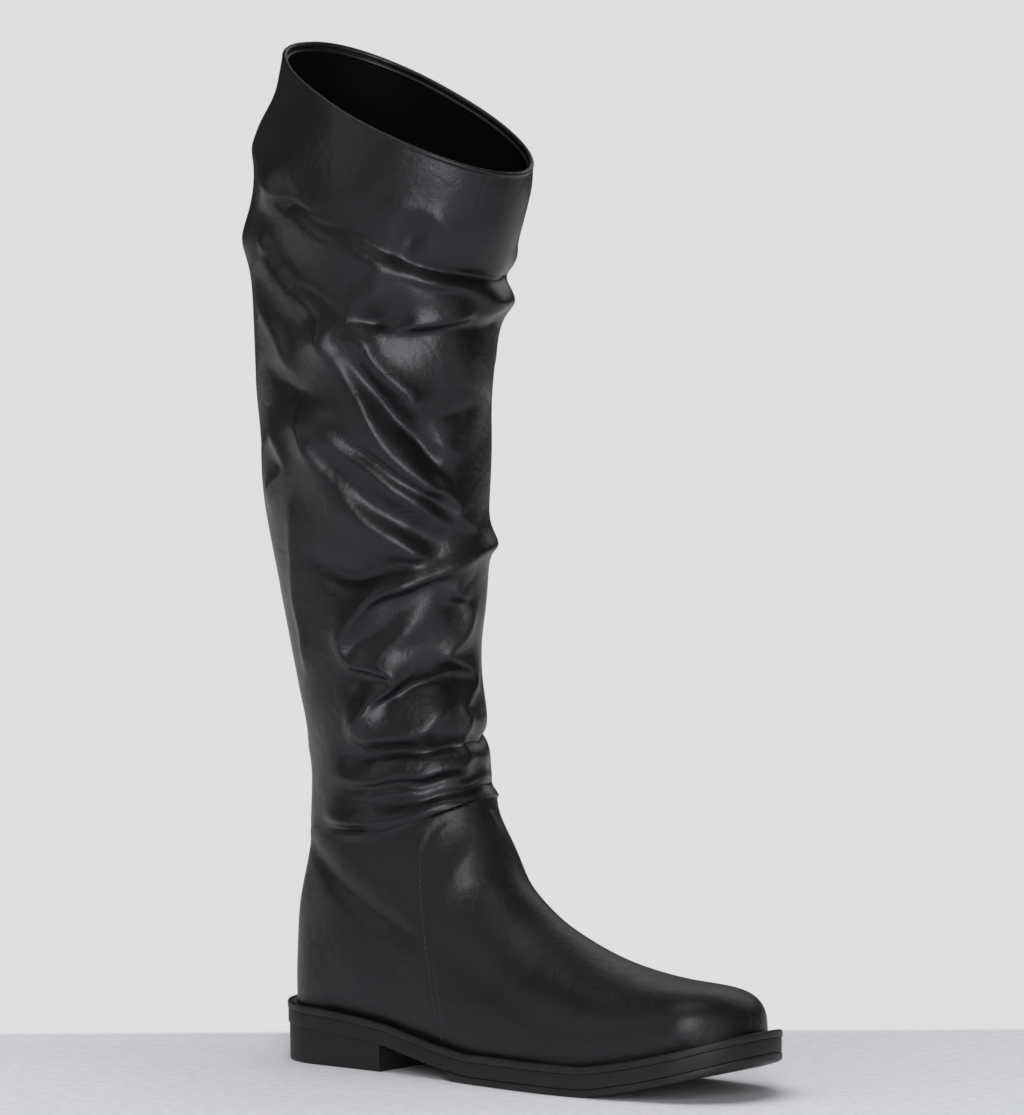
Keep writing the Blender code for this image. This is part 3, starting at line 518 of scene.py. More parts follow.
def board_top(x):
    return ledge_z(x) + INSOLE_THICK


def midsole_top(x):
    return sole_top(x) - WELT_THICK


def tread_top(x):
    return midsole_top(x) - MIDSOLE_THICK


def tread_bottom(x):
    return tread_top(x) - TREAD_THICK


def floor_level(x):
    return 0.0 * x


def drawn_in(distance):
    return lambda x: distance


def lowered(height, drop):
    return lambda x: height(x) - drop


def stations(start, end, count):
    """Stations along the foot, closer together towards both ends."""
    t = np.linspace(0, 1, count)
    return start + (end - start) * (1 - np.cos(np.pi * t)) / 2


def link(mesh, skin, slot, *nodes, body=BODY):
    """Make a piece with its mesh's name, ride it on a body and let it stand for CAD nodes."""
    mesh.materials.append(skin)
    piece = bpy.data.objects.new(mesh.name, mesh)
    bpy.context.scene.collection.objects.link(piece)
    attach(piece, body)
    if nodes:
        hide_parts(*nodes)
    return piece


def mesh_from(name, points, faces, sharp_angle=35.0):
    """Mesh in metres from points in millimetres, welded, facing out, smooth except at sharp edges."""
    mesh = bpy.data.meshes.new(name)
    mesh.from_pydata([tuple(float(c) * MM for c in p) for p in points], [], faces)
    made = bmesh.new()
    made.from_mesh(mesh)
    bmesh.ops.remove_doubles(made, verts=made.verts, dist=1e-6)
    bmesh.ops.dissolve_degenerate(made, edges=made.edges, dist=1e-7)
    bmesh.ops.recalc_face_normals(made, faces=made.faces)
    limit = math.radians(sharp_angle)
    for face in made.faces:
        face.smooth = True
    for edge in made.edges:
        edge.smooth = len(edge.link_faces) != 2 or edge.calc_face_angle(0) < limit
    made.to_mesh(mesh)
    made.free()
    return mesh


def grid_faces(row_count, column_count, closed, start=0):
    """Quads of a grid of points stored row after row."""
    faces = []
    columns = column_count if closed else column_count - 1
    for i in range(row_count - 1):
        low = start + i * column_count
        for j in range(columns):
            k = (j + 1) % column_count
            faces.append((low + j, low + k, low + column_count + k, low + column_count + j))
    return faces


def grid_mesh(name, rows, closed):
    faces = grid_faces(rows.shape[0], rows.shape[1], closed)
    return mesh_from(name, rows.reshape(-1, 3), faces, sharp_angle=60)


def grid_normals(rows, closed):
    """Outward directions of a grid whose columns run round the leg and whose rows run up it."""
    if closed:
        round_leg = np.roll(rows, -1, axis=1) - np.roll(rows, 1, axis=1)
    else:
        round_leg = np.gradient(rows, axis=1)
    outward = np.cross(round_leg, np.gradient(rows, axis=0))
    return outward / np.maximum(np.linalg.norm(outward, axis=-1, keepdims=True), 1e-9)


def section_points(section, count):
    """Points of one section, from the outer foot over the crown to the inner foot."""
    on_feather = section.foot_z is ON_FEATHER
    foot_z = feather_z(section.foot_x) if on_feather else section.foot_z
    s = np.linspace(0, 1, SECTION_STEPS) ** SECTION_CROWDING
    sides = []
    for side, sign in (("outer", -1), ("inner", 1)):
        widest = getattr(section, side)
        foot_width = 0.0
        if on_feather:
            foot_width = half_width(side, section.foot_x, feather_inset(section.foot_x))
        rise = np.clip(s / section.widest, 0, 1)
        fall = np.clip((s - section.widest) / (1 - section.widest), 0, 1)
        front = widest * (1 - (1 - rise) ** section.fullness) ** (1 / section.fullness)
        back = foot_width + (widest - foot_width) * (1 - fall ** FOOT_FULLNESS) ** (1 / FOOT_FULLNESS)
        x = section.crown_x + (section.foot_x - section.crown_x) * s
        z = section.crown_z + (foot_z - section.crown_z) * s
        line = np.stack([x, sign * np.where(s < section.widest, front, back), z], axis=1)
        lengths = np.concatenate([[0], np.cumsum(np.linalg.norm(np.diff(line, axis=0), axis=1))])
        wanted = np.linspace(0, lengths[-1], count + 1)
        sides.append(np.stack([np.interp(wanted, lengths, line[:, k]) for k in range(3)], axis=1))
    return np.concatenate([sides[0][::-1], sides[1][1:]])


def blended_sections(table, places):
    """Sections at places along a table, by smooth curves through every column."""
    Row = namedtuple("Row", ("at",) + Section._fields)
    last_on_feather = sum(row.foot_z is ON_FEATHER for row in table) - 1
    rows = []
    for i, row in enumerate(table):
        foot_z = feather_z(row.foot_x) if i <= last_on_feather else row.foot_z
        rows.append(Row(i, *row._replace(foot_z=foot_z)))
    made = []
    for place in places:
        section = Section(*(float(along(rows, name, place)) for name in Section._fields))
        if place <= last_on_feather:
            section = section._replace(foot_z=ON_FEATHER)
        made.append(section)
    return made


def feather_at(side, share):
    """Place on the feather line round the toe; share runs from 0 at the toe's start to 1 at its tip."""
    xs = np.linspace(TOE_START_X, TOE_TIP_X - FEATHER_INSET, FEATHER_STEPS)
    widths = np.array([half_width(side, x, feather_inset(x)) for x in xs])
    width = widths[0] * math.cos(share * math.pi / 2)
    x = float(np.interp(-width, -widths, xs))
    return x, width, feather_z(x)


def toe_fan(first_row):
    """Rows of the toe, from the feather line up to the first section of the vamp."""
    columns = []
    for j, (x, y, z) in enumerate(first_row):
        share = 1 - abs(j / UPPER_SIDE_POINTS - 1)
        side, sign = ("outer", -1) if j <= UPPER_SIDE_POINTS else ("inner", 1)
        foot_x, foot_width, foot_z = feather_at(side, share)
        columns.append((x, y, z, foot_x, sign * foot_width, foot_z))
    rows = []
    for angle in np.linspace(math.pi / 2, 0, TOE_ROWS, endpoint=False):
        out, up = math.sin(angle) ** TOE_OUT_POWER, math.cos(angle) ** TOE_UP_POWER
        rows.append([(x + (foot_x - x) * out, foot_y + (y - foot_y) * up, foot_z + (z - foot_z) * up)
                     for x, y, z, foot_x, foot_y, foot_z in columns])
    return rows


def eased(rows, passes, closed):
    """Rows with the small breaks between sections drawn smooth; the edges stay where they are."""
    inside = np.s_[1:-1] if closed else np.s_[1:-1, 1:-1]
    for _ in range(passes):
        around = sum(np.roll(rows, shift, axis) for shift, axis in ((1, 0), (-1, 0), (1, 1), (-1, 1))) / 4
        rows[inside] += (around[inside] - rows[inside]) / 2
    return rows


def smooth_step(t):
    """Smooth rise from 0 to 1 as t goes from 0 to 1."""
    t = np.clip(t, 0, 1)
    return t * t * (3 - 2 * t)


def rounded_heel(rows):
    """Heel cup whose radius round the heel's middle follows one short smooth series."""
    x, y, z = np.moveaxis(rows, -1, 0)
    angle, radius = np.arctan2(y, -x), np.hypot(x, y)
    rise = (z - feather_z(0.0)) / CUP_SCALE
    swings = [np.ones_like(angle)]
    for k in range(1, CUP_SERIES + 1):
        swings += [np.cos(k * angle), np.sin(k * angle)]
    terms = np.stack([swing * rise ** power for swing in swings for power in range(CUP_SERIES)], axis=-1)
    cup = (x < CUP_FIT_X) & (z < CUP_FIT_Z)
    fit = np.linalg.lstsq(terms[cup], radius[cup], rcond=None)[0]
    share = smooth_step((CUP_FRONT_X - x) / CUP_BLEND_X) * smooth_step((CUP_TOP_Z - z) / CUP_BLEND_Z)
    drawn = rows.copy()
    drawn[..., :2] *= (1 + share * (terms @ fit / radius - 1))[..., None]
    return drawn


def rounded_ankle(rows):
    """Ankle and instep whose half-width, squared, follows one short series in length and height."""
    x, y, z = np.moveaxis(rows, -1, 0)
    u, v = (x - ANKLE_X) / ANKLE_SCALE_X, (z - ANKLE_Z) / ANKLE_SCALE_Z
    powers = [(i, j) for i in range(ANKLE_SERIES + 1) for j in range(ANKLE_SERIES + 1 - i)]
    terms = np.stack([u ** i * v ** j for i, j in powers], axis=-1)
    share = (smooth_step((x - ANKLE_BACK_X) / ANKLE_BLEND_X)
             * smooth_step((ANKLE_FRONT_X - x) / ANKLE_BLEND_X)
             * smooth_step((z - ANKLE_LOW_Z) / ANKLE_BLEND_Z)
             * smooth_step((seam_z(x) - z) / ANKLE_BLEND_SEAM)
             * smooth_step(np.abs(y) / ANKLE_BLEND_CROWN))
    drawn = rows.copy()
    for side in (-1, 1):
        here = (y * side > 0) & (x > ANKLE_FIT_BACK_X) & (x < ANKLE_FIT_FRONT_X) & (z > ANKLE_FIT_LOW_Z)
        fit = np.linalg.lstsq(terms[here], y[here] ** 2, rcond=None)[0]
        width = side * np.sqrt(np.maximum(terms @ fit, 0))
        drawn[..., 1] += np.where(here, share * (width - y), 0)
    return drawn


def waves(u, v, wave):
    """Gentle irregular undulation up to about the wave's height, the same on every run."""
    chance = np.random.RandomState(wave.seed)
    total = np.zeros(np.shape(u))
    for _ in range(WAVE_COUNT):
        heading = chance.uniform(0, math.pi)
        length = wave.length * chance.uniform(0.7, 1.5)
        phase = chance.uniform(0, 2 * math.pi)
        total += np.sin(2 * math.pi * (u * math.cos(heading) + v * math.sin(heading)) / length + phase)
    return wave.height * (total / (WAVE_COUNT / 2))


def smooth_path(points, per_span=14):
    """Points along a curve that passes through the given ones."""
    p = np.array(points, dtype=float)
    p = np.concatenate([[2 * p[0] - p[1]], p, [2 * p[-1] - p[-2]]])
    t = np.linspace(0, 1, per_span, endpoint=False)[:, None]
    line = []
    for a, b, c, d in zip(p, p[1:], p[2:], p[3:]):
        line.append(0.5 * (2 * b + (c - a) * t + (2 * a - 5 * b + 4 * c - d) * t ** 2
                           + (3 * b - a - 3 * c + d) * t ** 3))
    return np.concatenate(line + [p[-2:-1]])


def distance_to_path(u, v, path):
    """Distance of places to a path, positive on its left, and the path's share at the nearest point."""
    best = np.full(np.shape(u), 1e9)
    share = np.zeros(np.shape(u))
    side = np.ones(np.shape(u))
    steps = np.hypot(*np.diff(path, axis=0).T)
    run = np.concatenate([[0], np.cumsum(steps)]) / steps.sum()
    for i, ((au, av), (bu, bv)) in enumerate(zip(path, path[1:])):
        du, dv = bu - au, bv - av
        t = np.clip(((u - au) * du + (v - av) * dv) / (du * du + dv * dv), 0, 1)
        distance = np.hypot(u - au - t * du, v - av - t * dv)
        nearer = distance < best
        best = np.where(nearer, distance, best)
        share = np.where(nearer, run[i] + t * (run[i + 1] - run[i]), share)
        side = np.where(nearer, np.where(du * (v - av) - dv * (u - au) < 0, -1.0, 1.0), side)
    return best * side, share


def fold_lift(turn, z):
    """How far the folds push the leather out at turns round the leg and heights."""
    u = turn * AROUND_PER_DEGREE
    u = u + waves(u, z, WANDER_ROUND)
    v = z + waves(u, z, WANDER_UP)
    girth = 360 * AROUND_PER_DEGREE
    lift = np.zeros(turn.shape)
    for fold in FOLDS:
        path = smooth_path(fold.path)
        path[:, 0] *= AROUND_PER_DEGREE
        low, high = path.min(axis=0), path.max(axis=0)
        middle = (low[0] + high[0]) / 2
        near_u = (u - middle + girth / 2) % girth - girth / 2 + middle
        reach = FOLD_REACH * max(fold.left, fold.right)
        close = ((near_u > low[0] - reach) & (near_u < high[0] + reach)
                 & (v > low[1] - reach) & (v < high[1] + reach))
        distance, share = distance_to_path(near_u[close], v[close], path)
        flank = np.where(distance > 0, fold.left, fold.right)
        rounded = np.hypot(distance, fold.round) - fold.round
        length = np.hypot(*np.diff(path, axis=0).T).sum()
        strength = smooth_step(np.minimum(share, 1 - share) * length / min(fold.fade, length / 2))
        lift[close] += fold.crest * strength * np.exp(-rounded / flank)
    return lift + waves(u, v, SHAFT_UNEVEN)


def seam_z(x):
    """Height of the plane through the front and back of the ankle seam."""
    seam = ANKLE_SEAM
    return seam.foot_z + (x - seam.foot_x) * (seam.crown_z - seam.foot_z) / (seam.crown_x - seam.foot_x)


def sagged(rows, closed):
    """Leather round the ankle seam slid down along itself on the outer side, where the seam hangs low."""
    x, y, z = np.moveaxis(rows, -1, 0)
    above = z - seam_z(x)
    near = np.exp(-(above / np.where(above > 0, SAG_ABOVE, SAG_BELOW)) ** 2)
    outer = np.clip(-y / ANKLE_SEAM.outer, 0, 1) ** SAG_SIDE_POWER
    drop = SEAM_SAG * outer * smooth_step((x - SAG_BACK_X) / SAG_BLEND_X) * near
    outward = grid_normals(rows, closed)
    down = outward * outward[..., 2:] - UPWARD
    return rows + down * (drop / np.maximum(1 - outward[..., 2] ** 2, SAG_LEAST_STEEP))[..., None]


def plain_rings():
    """Rings of the shaft before it is folded, from the ankle seam to the tilted collar."""
    last = len(SHAFT_SECTIONS) - 1
    places = last * np.linspace(0, 1, SHAFT_ROWS) ** ROWS_CLOSER_BELOW
    sections = blended_sections(SHAFT_SECTIONS, places)
    rings = np.array([section_points(s, SHAFT_SIDE_POINTS)[:-1] for s in sections])
    rings = eased(rings, SHAFT_EASE_PASSES, closed=True)
    share = np.clip(places - (last - 1), 0, 1)[:, None]
    rings[:, :, 2] += COLLAR_TILT * share * share * rings[:, :, 1] / SHAFT_SECTIONS[-1].outer
    return rings


def shaft_rings():
    """Rings of the slouched shaft from the ankle seam to the collar."""
    rings = plain_rings()
    turn = np.arange(-SHAFT_SIDE_POINTS, SHAFT_SIDE_POINTS) / SHAFT_SIDE_POINTS * 180
    turn = np.broadcast_to(turn, rings.shape[:2])
    outward = grid_normals(rings, closed=True)
    z = rings[:, :, 2]
    above_seam = np.clip((z - z[0]) / SEAM_FADE, 0, 1)
    below_collar = np.clip((z[-1] - z) / COLLAR_FADE, 0, 1)
    lift = eased(fold_lift(turn, z), CREST_PASSES, closed=True)
    lift = lift * above_seam * (COLLAR_SHARE + (1 - COLLAR_SHARE) * below_collar)
    slump = FOLD_SLUMP * np.maximum(lift, 0)[..., None] * UPWARD
    return sagged(rings, True) + outward * lift[..., None] - slump


def upper_grid():
    """Rows of the upper: the toe, the vamp, round the heel and up its back to the ankle seam."""
    last_on_feather = sum(row.foot_z is ON_FEATHER for row in UPPER_SECTIONS) - 1
    round_heel = np.sin(np.linspace(0, math.pi / 2, HEEL_ROWS))[1:]
    before = last_on_feather - 1
    places = np.concatenate([np.linspace(0, before, VAMP_ROWS), before + round_heel,
                             np.linspace(last_on_feather, len(UPPER_SECTIONS) - 1, BACK_ROWS)[1:]])
    rows = [section_points(s, UPPER_SIDE_POINTS) for s in blended_sections(UPPER_SECTIONS, places)]
    rows = eased(np.array(toe_fan(rows[0]) + rows), EASE_PASSES, closed=False)
    rows = rounded_ankle(rounded_heel(rows))
    x, y, z = np.moveaxis(rows, -1, 0)
    lift = waves(x + UNEVEN_SKEW * y, z, UPPER_UNEVEN)
    for dent in DENTS:
        lean = math.radians(dent.lean)
        u = (x - dent.x) * math.cos(lean) + (z - dent.z) * math.sin(lean)
        v = (z - dent.z) * math.cos(lean) - (x - dent.x) * math.sin(lean)
        side = 1 / (1 + np.exp(-dent.side * y / SIDE_BLEND))
        lift = lift + dent.depth * side * np.exp(-(u / dent.along) ** 2 - (v / dent.up) ** 2)
    above_feather = np.clip((z - feather_z(x)) / FEATHER_FADE, 0, 1)
    edge = above_feather * np.clip((seam_z(x) - z) / UPPER_SEAM_FADE, 0, 1)
    return sagged(rows, False) + grid_normals(rows, closed=False) * (lift * edge)[..., None]


def collar_rows(rings):
    """Rolled collar edge and the turned leather behind it, continuing the shaft's last ring."""
    outward = grid_normals(rings, closed=True)[-1]
    up = rings[-1] - rings[-3]
    up /= np.linalg.norm(up, axis=-1, keepdims=True)
    radius = COLLAR_ROLL / 2
    rows = []
    for angle in np.linspace(0, math.pi, COLLAR_STEPS)[1:]:
        rows.append(rings[-1] - outward * radius * (1 - math.cos(angle)) + up * radius * math.sin(angle))
    for inward, drop in COLLAR_FACING:
        rows.append(rings[-1] - outward * (COLLAR_ROLL + inward) - up * drop)
    return np.array(rows)


def zip_plan(t, shift=0.0):
    """Side-view place on the zip's line: t runs from 0 at its foot to 1 at its head."""
    run_x, run_z = ZIP_HEAD_X - ZIP_FOOT_X, ZIP_HEAD_Z - ZIP_FOOT_Z
    x = ZIP_FOOT_X + run_x * t + shift * run_z / ZIP_LENGTH
    z = ZIP_FOOT_Z + run_z * t - shift * run_x / ZIP_LENGTH
    return x, z


def cut_zip_slot(mesh):
    """Open the zip's slot in a skin with straight cuts along its edges."""
    foot_x, foot_z = zip_plan(0)
    head_x, head_z = zip_plan(1)
    rise = Vector((head_x - foot_x, 0, head_z - foot_z)).normalized()
    over = Vector((rise.z, 0, -rise.x))
    foot, head = Vector((foot_x, 0, foot_z)) * MM, Vector((head_x, 0, head_z)) * MM
    half = SLOT_WIDTH / 2 * MM
    length = (head - foot).length
    made = bmesh.new()
    made.from_mesh(mesh)

    def inside(face, margin):
        centre = face.calc_center_median()
        offset = centre - foot
        return (centre.y > SLOT_LEAST_Y * MM and abs(offset.dot(over)) < half + margin
                and -margin < offset.dot(rise) < length + margin)

    cuts = ((foot + over * half, over), (foot - over * half, over), (foot, rise), (head, rise))
    for place, normal in cuts:
        faces = [f for f in made.faces if inside(f, SLOT_MARGIN * MM)]
        geometry = faces + list({e for f in faces for e in f.edges})
        geometry += list({v for f in faces for v in f.verts})
        bmesh.ops.bisect_plane(made, geom=geometry, plane_co=place, plane_no=normal, dist=1e-7)
    bmesh.ops.delete(made, geom=[f for f in made.faces if inside(f, 0)], context="FACES")
    made.to_mesh(mesh)
    made.free()


def seam_distance(mesh):
    """Store each vertex's distance to the vamp seam in millimetres, for the leather's seam line."""
    path = smooth_path(VAMP_SEAM, 8)
    places = np.array([v.co for v in mesh.vertices]) / MM
    distance, _ = distance_to_path(places[:, 0], places[:, 2], path)
    distance = np.where(places[:, 1] < VAMP_SEAM_Y, np.abs(distance), FAR_FROM_SEAM)
    attribute = mesh.attributes.new("seam", "FLOAT", "POINT")
    attribute.data.foreach_set("value", distance.astype(np.float32))


def new_skin(name, colour, roughness):
    """New material: itself, its node tree, its shader and the place on the object."""
    made = bpy.data.materials.new(name)
    made.use_nodes = True
    tree = made.node_tree
    shader = tree.nodes["Principled BSDF"]
    shader.inputs["Base Color"].default_value = (*colour, 1)
    shader.inputs["Roughness"].default_value = roughness
    place = add(tree, "ShaderNodeTexCoord").outputs["Object"]
    return made, tree, shader, place


def add(tree, kind, inputs=None, **settings):
    """Add a node, set its properties, and set or join its inputs."""
    node = tree.nodes.new(kind)
    for key, value in settings.items():
        setattr(node, key, value)
    for key, value in (inputs or {}).items():
        if isinstance(value, bpy.types.NodeSocket):
            tree.links.new(value, node.inputs[key])
        else:
            node.inputs[key].default_value = value
    return node


def math_node(tree, operation, *values):
    return add(tree, "ShaderNodeMath", dict(enumerate(values)), operation=operation).outputs[0]


def ramp(tree, value, low, high, out_low=0.0, out_high=1.0):
    """Map a value smoothly from one range to another."""
    inputs = {"Value": value, "From Min": low, "From Max": high, "To Min": out_low, "To Max": out_high}
    return add(tree, "ShaderNodeMapRange", inputs, interpolation_type="SMOOTHSTEP").outputs["Result"]


def noise(tree, place, scale, detail, roughness=0.5, distortion=0.0):
    inputs = {"Vector": place, "Scale": scale, "Detail": detail, "Roughness": roughness,
              "Distortion": distortion}
    return add(tree, "ShaderNodeTexNoise", inputs).outputs["Fac"]


def mixed(tree, share, first, second):
    """Blend of two colours, each one plain or from an earlier node."""
    a, b = (c if isinstance(c, bpy.types.NodeSocket) else (*c, 1) for c in (first, second))
    return add(tree, "ShaderNodeMix", {"Factor": share, "A": a, "B": b}, data_type="RGBA").outputs["Result"]


def bumps(tree, *layers, normal=None):
    """Layers of bump over each other: each a height, its strength and its depth in millimetres."""
    for height, strength, depth in layers:
        inputs = {"Height": height, "Strength": strength, "Distance": depth * MM}
        if normal is not None:
            inputs["Normal"] = normal
        normal = add(tree, "ShaderNodeBump", inputs).outputs["Normal"]
    return normal


def dress(tree, shader, joined, plain):
    """Join node outputs to the shader's inputs and set its plain values."""
    for name, socket in joined.items():
        tree.links.new(socket, shader.inputs[name])
    for name, value in plain.items():
        shader.inputs[name].default_value = value


def leather(name, roughness, seam=False):
    """Smooth dyed leather: fine grain, soft pull wrinkles, uneven gloss, and a seam line where asked."""
    made, tree, shader, place = new_skin(name, LEATHER_BLACK, roughness)
    grain = add(tree, "ShaderNodeTexVoronoi", {"Vector": place, "Scale": 1300.0, "Randomness": 1.0},
                feature="SMOOTH_F1").outputs["Distance"]
    pores = noise(tree, place, 2600.0, 3.0, 0.6)
    pulls = noise(tree, place, 130.0, 5.0, 0.55, 0.6)
    broad = noise(tree, place, 26.0, 3.0)
    drift = add(tree, "ShaderNodeTexNoise", {"Vector": place, "Scale": 70.0, "Detail": 4.0})
    warped = add(tree, "ShaderNodeMix", {"Factor": 0.008, "A": place, "B": drift.outputs["Color"]},
                 data_type="VECTOR").outputs["Result"]
    cells = add(tree, "ShaderNodeTexVoronoi", {"Vector": warped, "Scale": 190.0},
                feature="DISTANCE_TO_EDGE").outputs["Distance"]
    wrinkles = math_node(tree, "MULTIPLY", ramp(tree, cells, 0.0, 0.12, 1.0, 0.0),
                         ramp(tree, broad, 0.45, 0.62))
    normal = bumps(tree, (wrinkles, -0.34, 0.5), (pulls, 0.24, 2.2), (grain, 0.14, 0.22),
                   (pores, 0.07, 0.12))
    tint = mixed(tree, ramp(tree, broad, 0.35, 0.7), LEATHER_BLACK, LEATHER_WORN)
    gloss = math_node(tree, "MULTIPLY_ADD", pulls, 0.12, roughness - 0.09)
    rough = math_node(tree, "ADD", gloss, math_node(tree, "MULTIPLY", broad, 0.06))
    if seam:
        reach = add(tree, "ShaderNodeAttribute", attribute_name="seam").outputs["Fac"]
        line = ramp(tree, reach, 0.15, 0.75, 1.0, 0.0)
        pillow = ramp(tree, reach, 0.0, 3.2)
        normal = bumps(tree, (pillow, 0.55, 0.6), (line, -0.8, 0.4), normal=normal)
        tint = mixed(tree, math_node(tree, "MULTIPLY", line, 0.75), tint, SEAM_BLACK)
    dress(tree, shader, {"Base Color": tint, "Roughness": rough, "Normal": normal},
          {"Specular IOR Level": 0.5, "Specular Tint": (0.93, 0.93, 1.0, 1.0), "Coat Weight": 0.08,
           "Coat Roughness": 0.28})
    return made


def lining_leather():
    """Matt lining: dark, dull and fine-grained."""
    made, tree, shader, place = new_skin("lining_leather", (0.003, 0.003, 0.003), 0.75)
    nap = noise(tree, place, 1800.0, 3.0)
    patch = noise(tree, place, 40.0, 3.0)
    tint = mixed(tree, patch, (0.0010, 0.0010, 0.0010), (0.0018, 0.0018, 0.0018))
    dress(tree, shader, {"Base Color": tint,
                         "Roughness": ramp(tree, nap, 0.2, 0.8, 0.66, 0.82),
                         "Normal": bumps(tree, (nap, 0.3, 0.2))}, {"Specular IOR Level": 0.08})
    return made


def rubber(name, colour, dusty, roughness, streak):
    """Moulded and buffed rubber: streaks along the edge, fine pits and a trace of dust."""
    made, tree, shader, place = new_skin(name, colour, roughness)
    drawn_out = add(tree, "ShaderNodeMapping", {"Vector": place, "Scale": (1.0, 1.0, 16.0)})
    streaks = noise(tree, drawn_out.outputs["Vector"], 90.0, 6.0, 0.65)
    pits = noise(tree, place, 1500.0, 4.0, 0.6)
    patch = noise(tree, place, 55.0, 4.0)
    share = math_node(tree, "MULTIPLY", streaks, patch)
    rough = math_node(tree, "ADD", math_node(tree, "MULTIPLY", streaks, 0.22), roughness - 0.1)
    tint = mixed(tree, ramp(tree, share, 0.15, 0.45), colour, dusty)
    normal = bumps(tree, (streaks, streak, 0.4), (pits, 0.18, 0.2))
    dress(tree, shader, {"Base Color": tint, "Roughness": rough, "Normal": normal},
          {"Specular IOR Level": 0.45})
    return made


def zip_cloth():
    """Woven zip tape with a fine twill."""
    made, tree, shader, place = new_skin("zip_cloth", (0.008, 0.008, 0.008), 0.85)
    weave = add(tree, "ShaderNodeTexWave", {"Vector": place, "Scale": 420.0, "Distortion": 0.6},
                wave_type="BANDS", bands_direction="DIAGONAL").outputs["Fac"]
    fibre = noise(tree, place, 2400.0, 3.0)
    dress(tree, shader, {"Base Color": mixed(tree, weave, (0.005, 0.005, 0.005), (0.012, 0.012, 0.012)),
                         "Roughness": ramp(tree, fibre, 0.2, 0.8, 0.8, 0.95),
                         "Normal": bumps(tree, (weave, 0.5, 0.2))}, {})
    return made


def dark_metal():
    """Dark plated zip metal, rubbed brighter in places."""
    made, tree, shader, place = new_skin("dark_metal", (0.11, 0.11, 0.115), 0.3)
    rubbed = noise(tree, place, 420.0, 4.0)
    scratch = noise(tree, place, 2200.0, 2.0)
    tint = mixed(tree, ramp(tree, rubbed, 0.4, 0.75), (0.07, 0.07, 0.073), (0.22, 0.22, 0.23))
    dress(tree, shader, {"Base Color": tint, "Roughness": ramp(tree, scratch, 0.2, 0.8, 0.24, 0.4),
                         "Normal": bumps(tree, (scratch, 0.08, 0.1))}, {"Metallic": 1.0})
    return made


def nylon(name, colour):
    """Plastic of the zip's teeth and the sewing thread."""
    made, tree, shader, place = new_skin(name, colour, 0.4)
    fine = noise(tree, place, 3000.0, 2.0)
    lighter = tuple(c * 1.7 for c in colour)
    dress(tree, shader, {"Base Color": mixed(tree, fine, colour, lighter),
                         "Roughness": ramp(tree, fine, 0.2, 0.8, 0.34, 0.5),
                         "Normal": bumps(tree, (fine, 0.2, 0.1))}, {})
    return made


def rim(xs, inset, height):
    """One closed rim of the sole: the outer side from the back to the toe, then the inner side back."""
    outer = [(x, -half_width("outer", x, inset(x)), height(x)) for x in xs]
    inner = [(x, half_width("inner", x, inset(x)), height(x)) for x in xs]
    return outer + inner[::-1]


def rims_mesh(name, rims, caps=True, sharp_angle=35.0):
    """Mesh through closed rims, with its first and last rim filled across if asked."""
    columns = len(rims[0])
    points = [p for row in rims for p in row]
    faces = grid_faces(len(rims), columns, closed=True)
    if caps:
        for start in (0, (len(rims) - 1) * columns):
            for i in range(columns // 2 - 1):
                faces.append((start + i, start + i + 1, start + columns - 2 - i, start + columns - 1 - i))
    return mesh_from(name, points, faces, sharp_angle)


def whole(inset):
    """Stations of a rim that runs the whole length of the sole."""
    return stations(HEEL_BACK_X + inset, TOE_TIP_X - inset, SOLE_STATIONS)


def make_layer(name, profile, stations_at, skin, slot, node):
    """Layer of the sole through rims; a row of its profile is an inset, a height and a drop below that."""
    rims = []
    for inset, height, drop in profile:
        rims.append(rim(stations_at(inset), drawn_in(inset), lowered(height, drop)))
    link(rims_mesh(name, rims), skin, slot, node)


def make_welt(skin):
    """Welt ring: a rolled rim outside, a groove and ledge inside it."""
    profile = ((WELT_REACH, WELT_THICK), (0.25, WELT_THICK), (0.05, WELT_THICK - 0.2),
               (0.0, WELT_THICK - 0.6), (0.0, 1.1), (0.1, 0.6), (0.4, 0.2), (0.8, 0.0), (1.2, 0.05),
               (RIM_WIDTH, 0.3), (RIM_WIDTH + 0.4, LEDGE_DROP), (WELT_REACH, LEDGE_DROP),
               (WELT_REACH, WELT_THICK))
    rims = [rim(whole(inset), drawn_in(inset), lowered(sole_top, drop)) for inset, drop in profile]
    link(rims_mesh("welt_band", rims, caps=False, sharp_angle=50), skin, "welt_rubber", "welt")


def make_midsole(skin):
    profile = ((0.9, midsole_top, -0.02), (0.45, midsole_top, 0.25), (0.35, midsole_top, 0.7),
               (0.35, tread_top, -0.7), (0.45, tread_top, -0.25), (0.9, tread_top, 0))
    make_layer("midsole_band", profile, whole, skin, "midsole_rubber", "midsole")


def make_half_sole(skin):
    profile = ((0.7, tread_top, -0.02), (0.2, tread_top, 0.25), (0.1, tread_top, 0.7),
               (0.1, tread_bottom, -1.0), (0.35, tread_bottom, -0.4), (1.0, tread_bottom, 0))
    t = np.linspace(0, 1, TREAD_STATIONS)

    def forepart(inset):
        return TREAD_START_X + (TOE_TIP_X - inset - TREAD_START_X) * np.sin(t * np.pi / 2)

    make_layer("half_sole_tread", profile, forepart, skin, "tread_rubber", "half_sole")


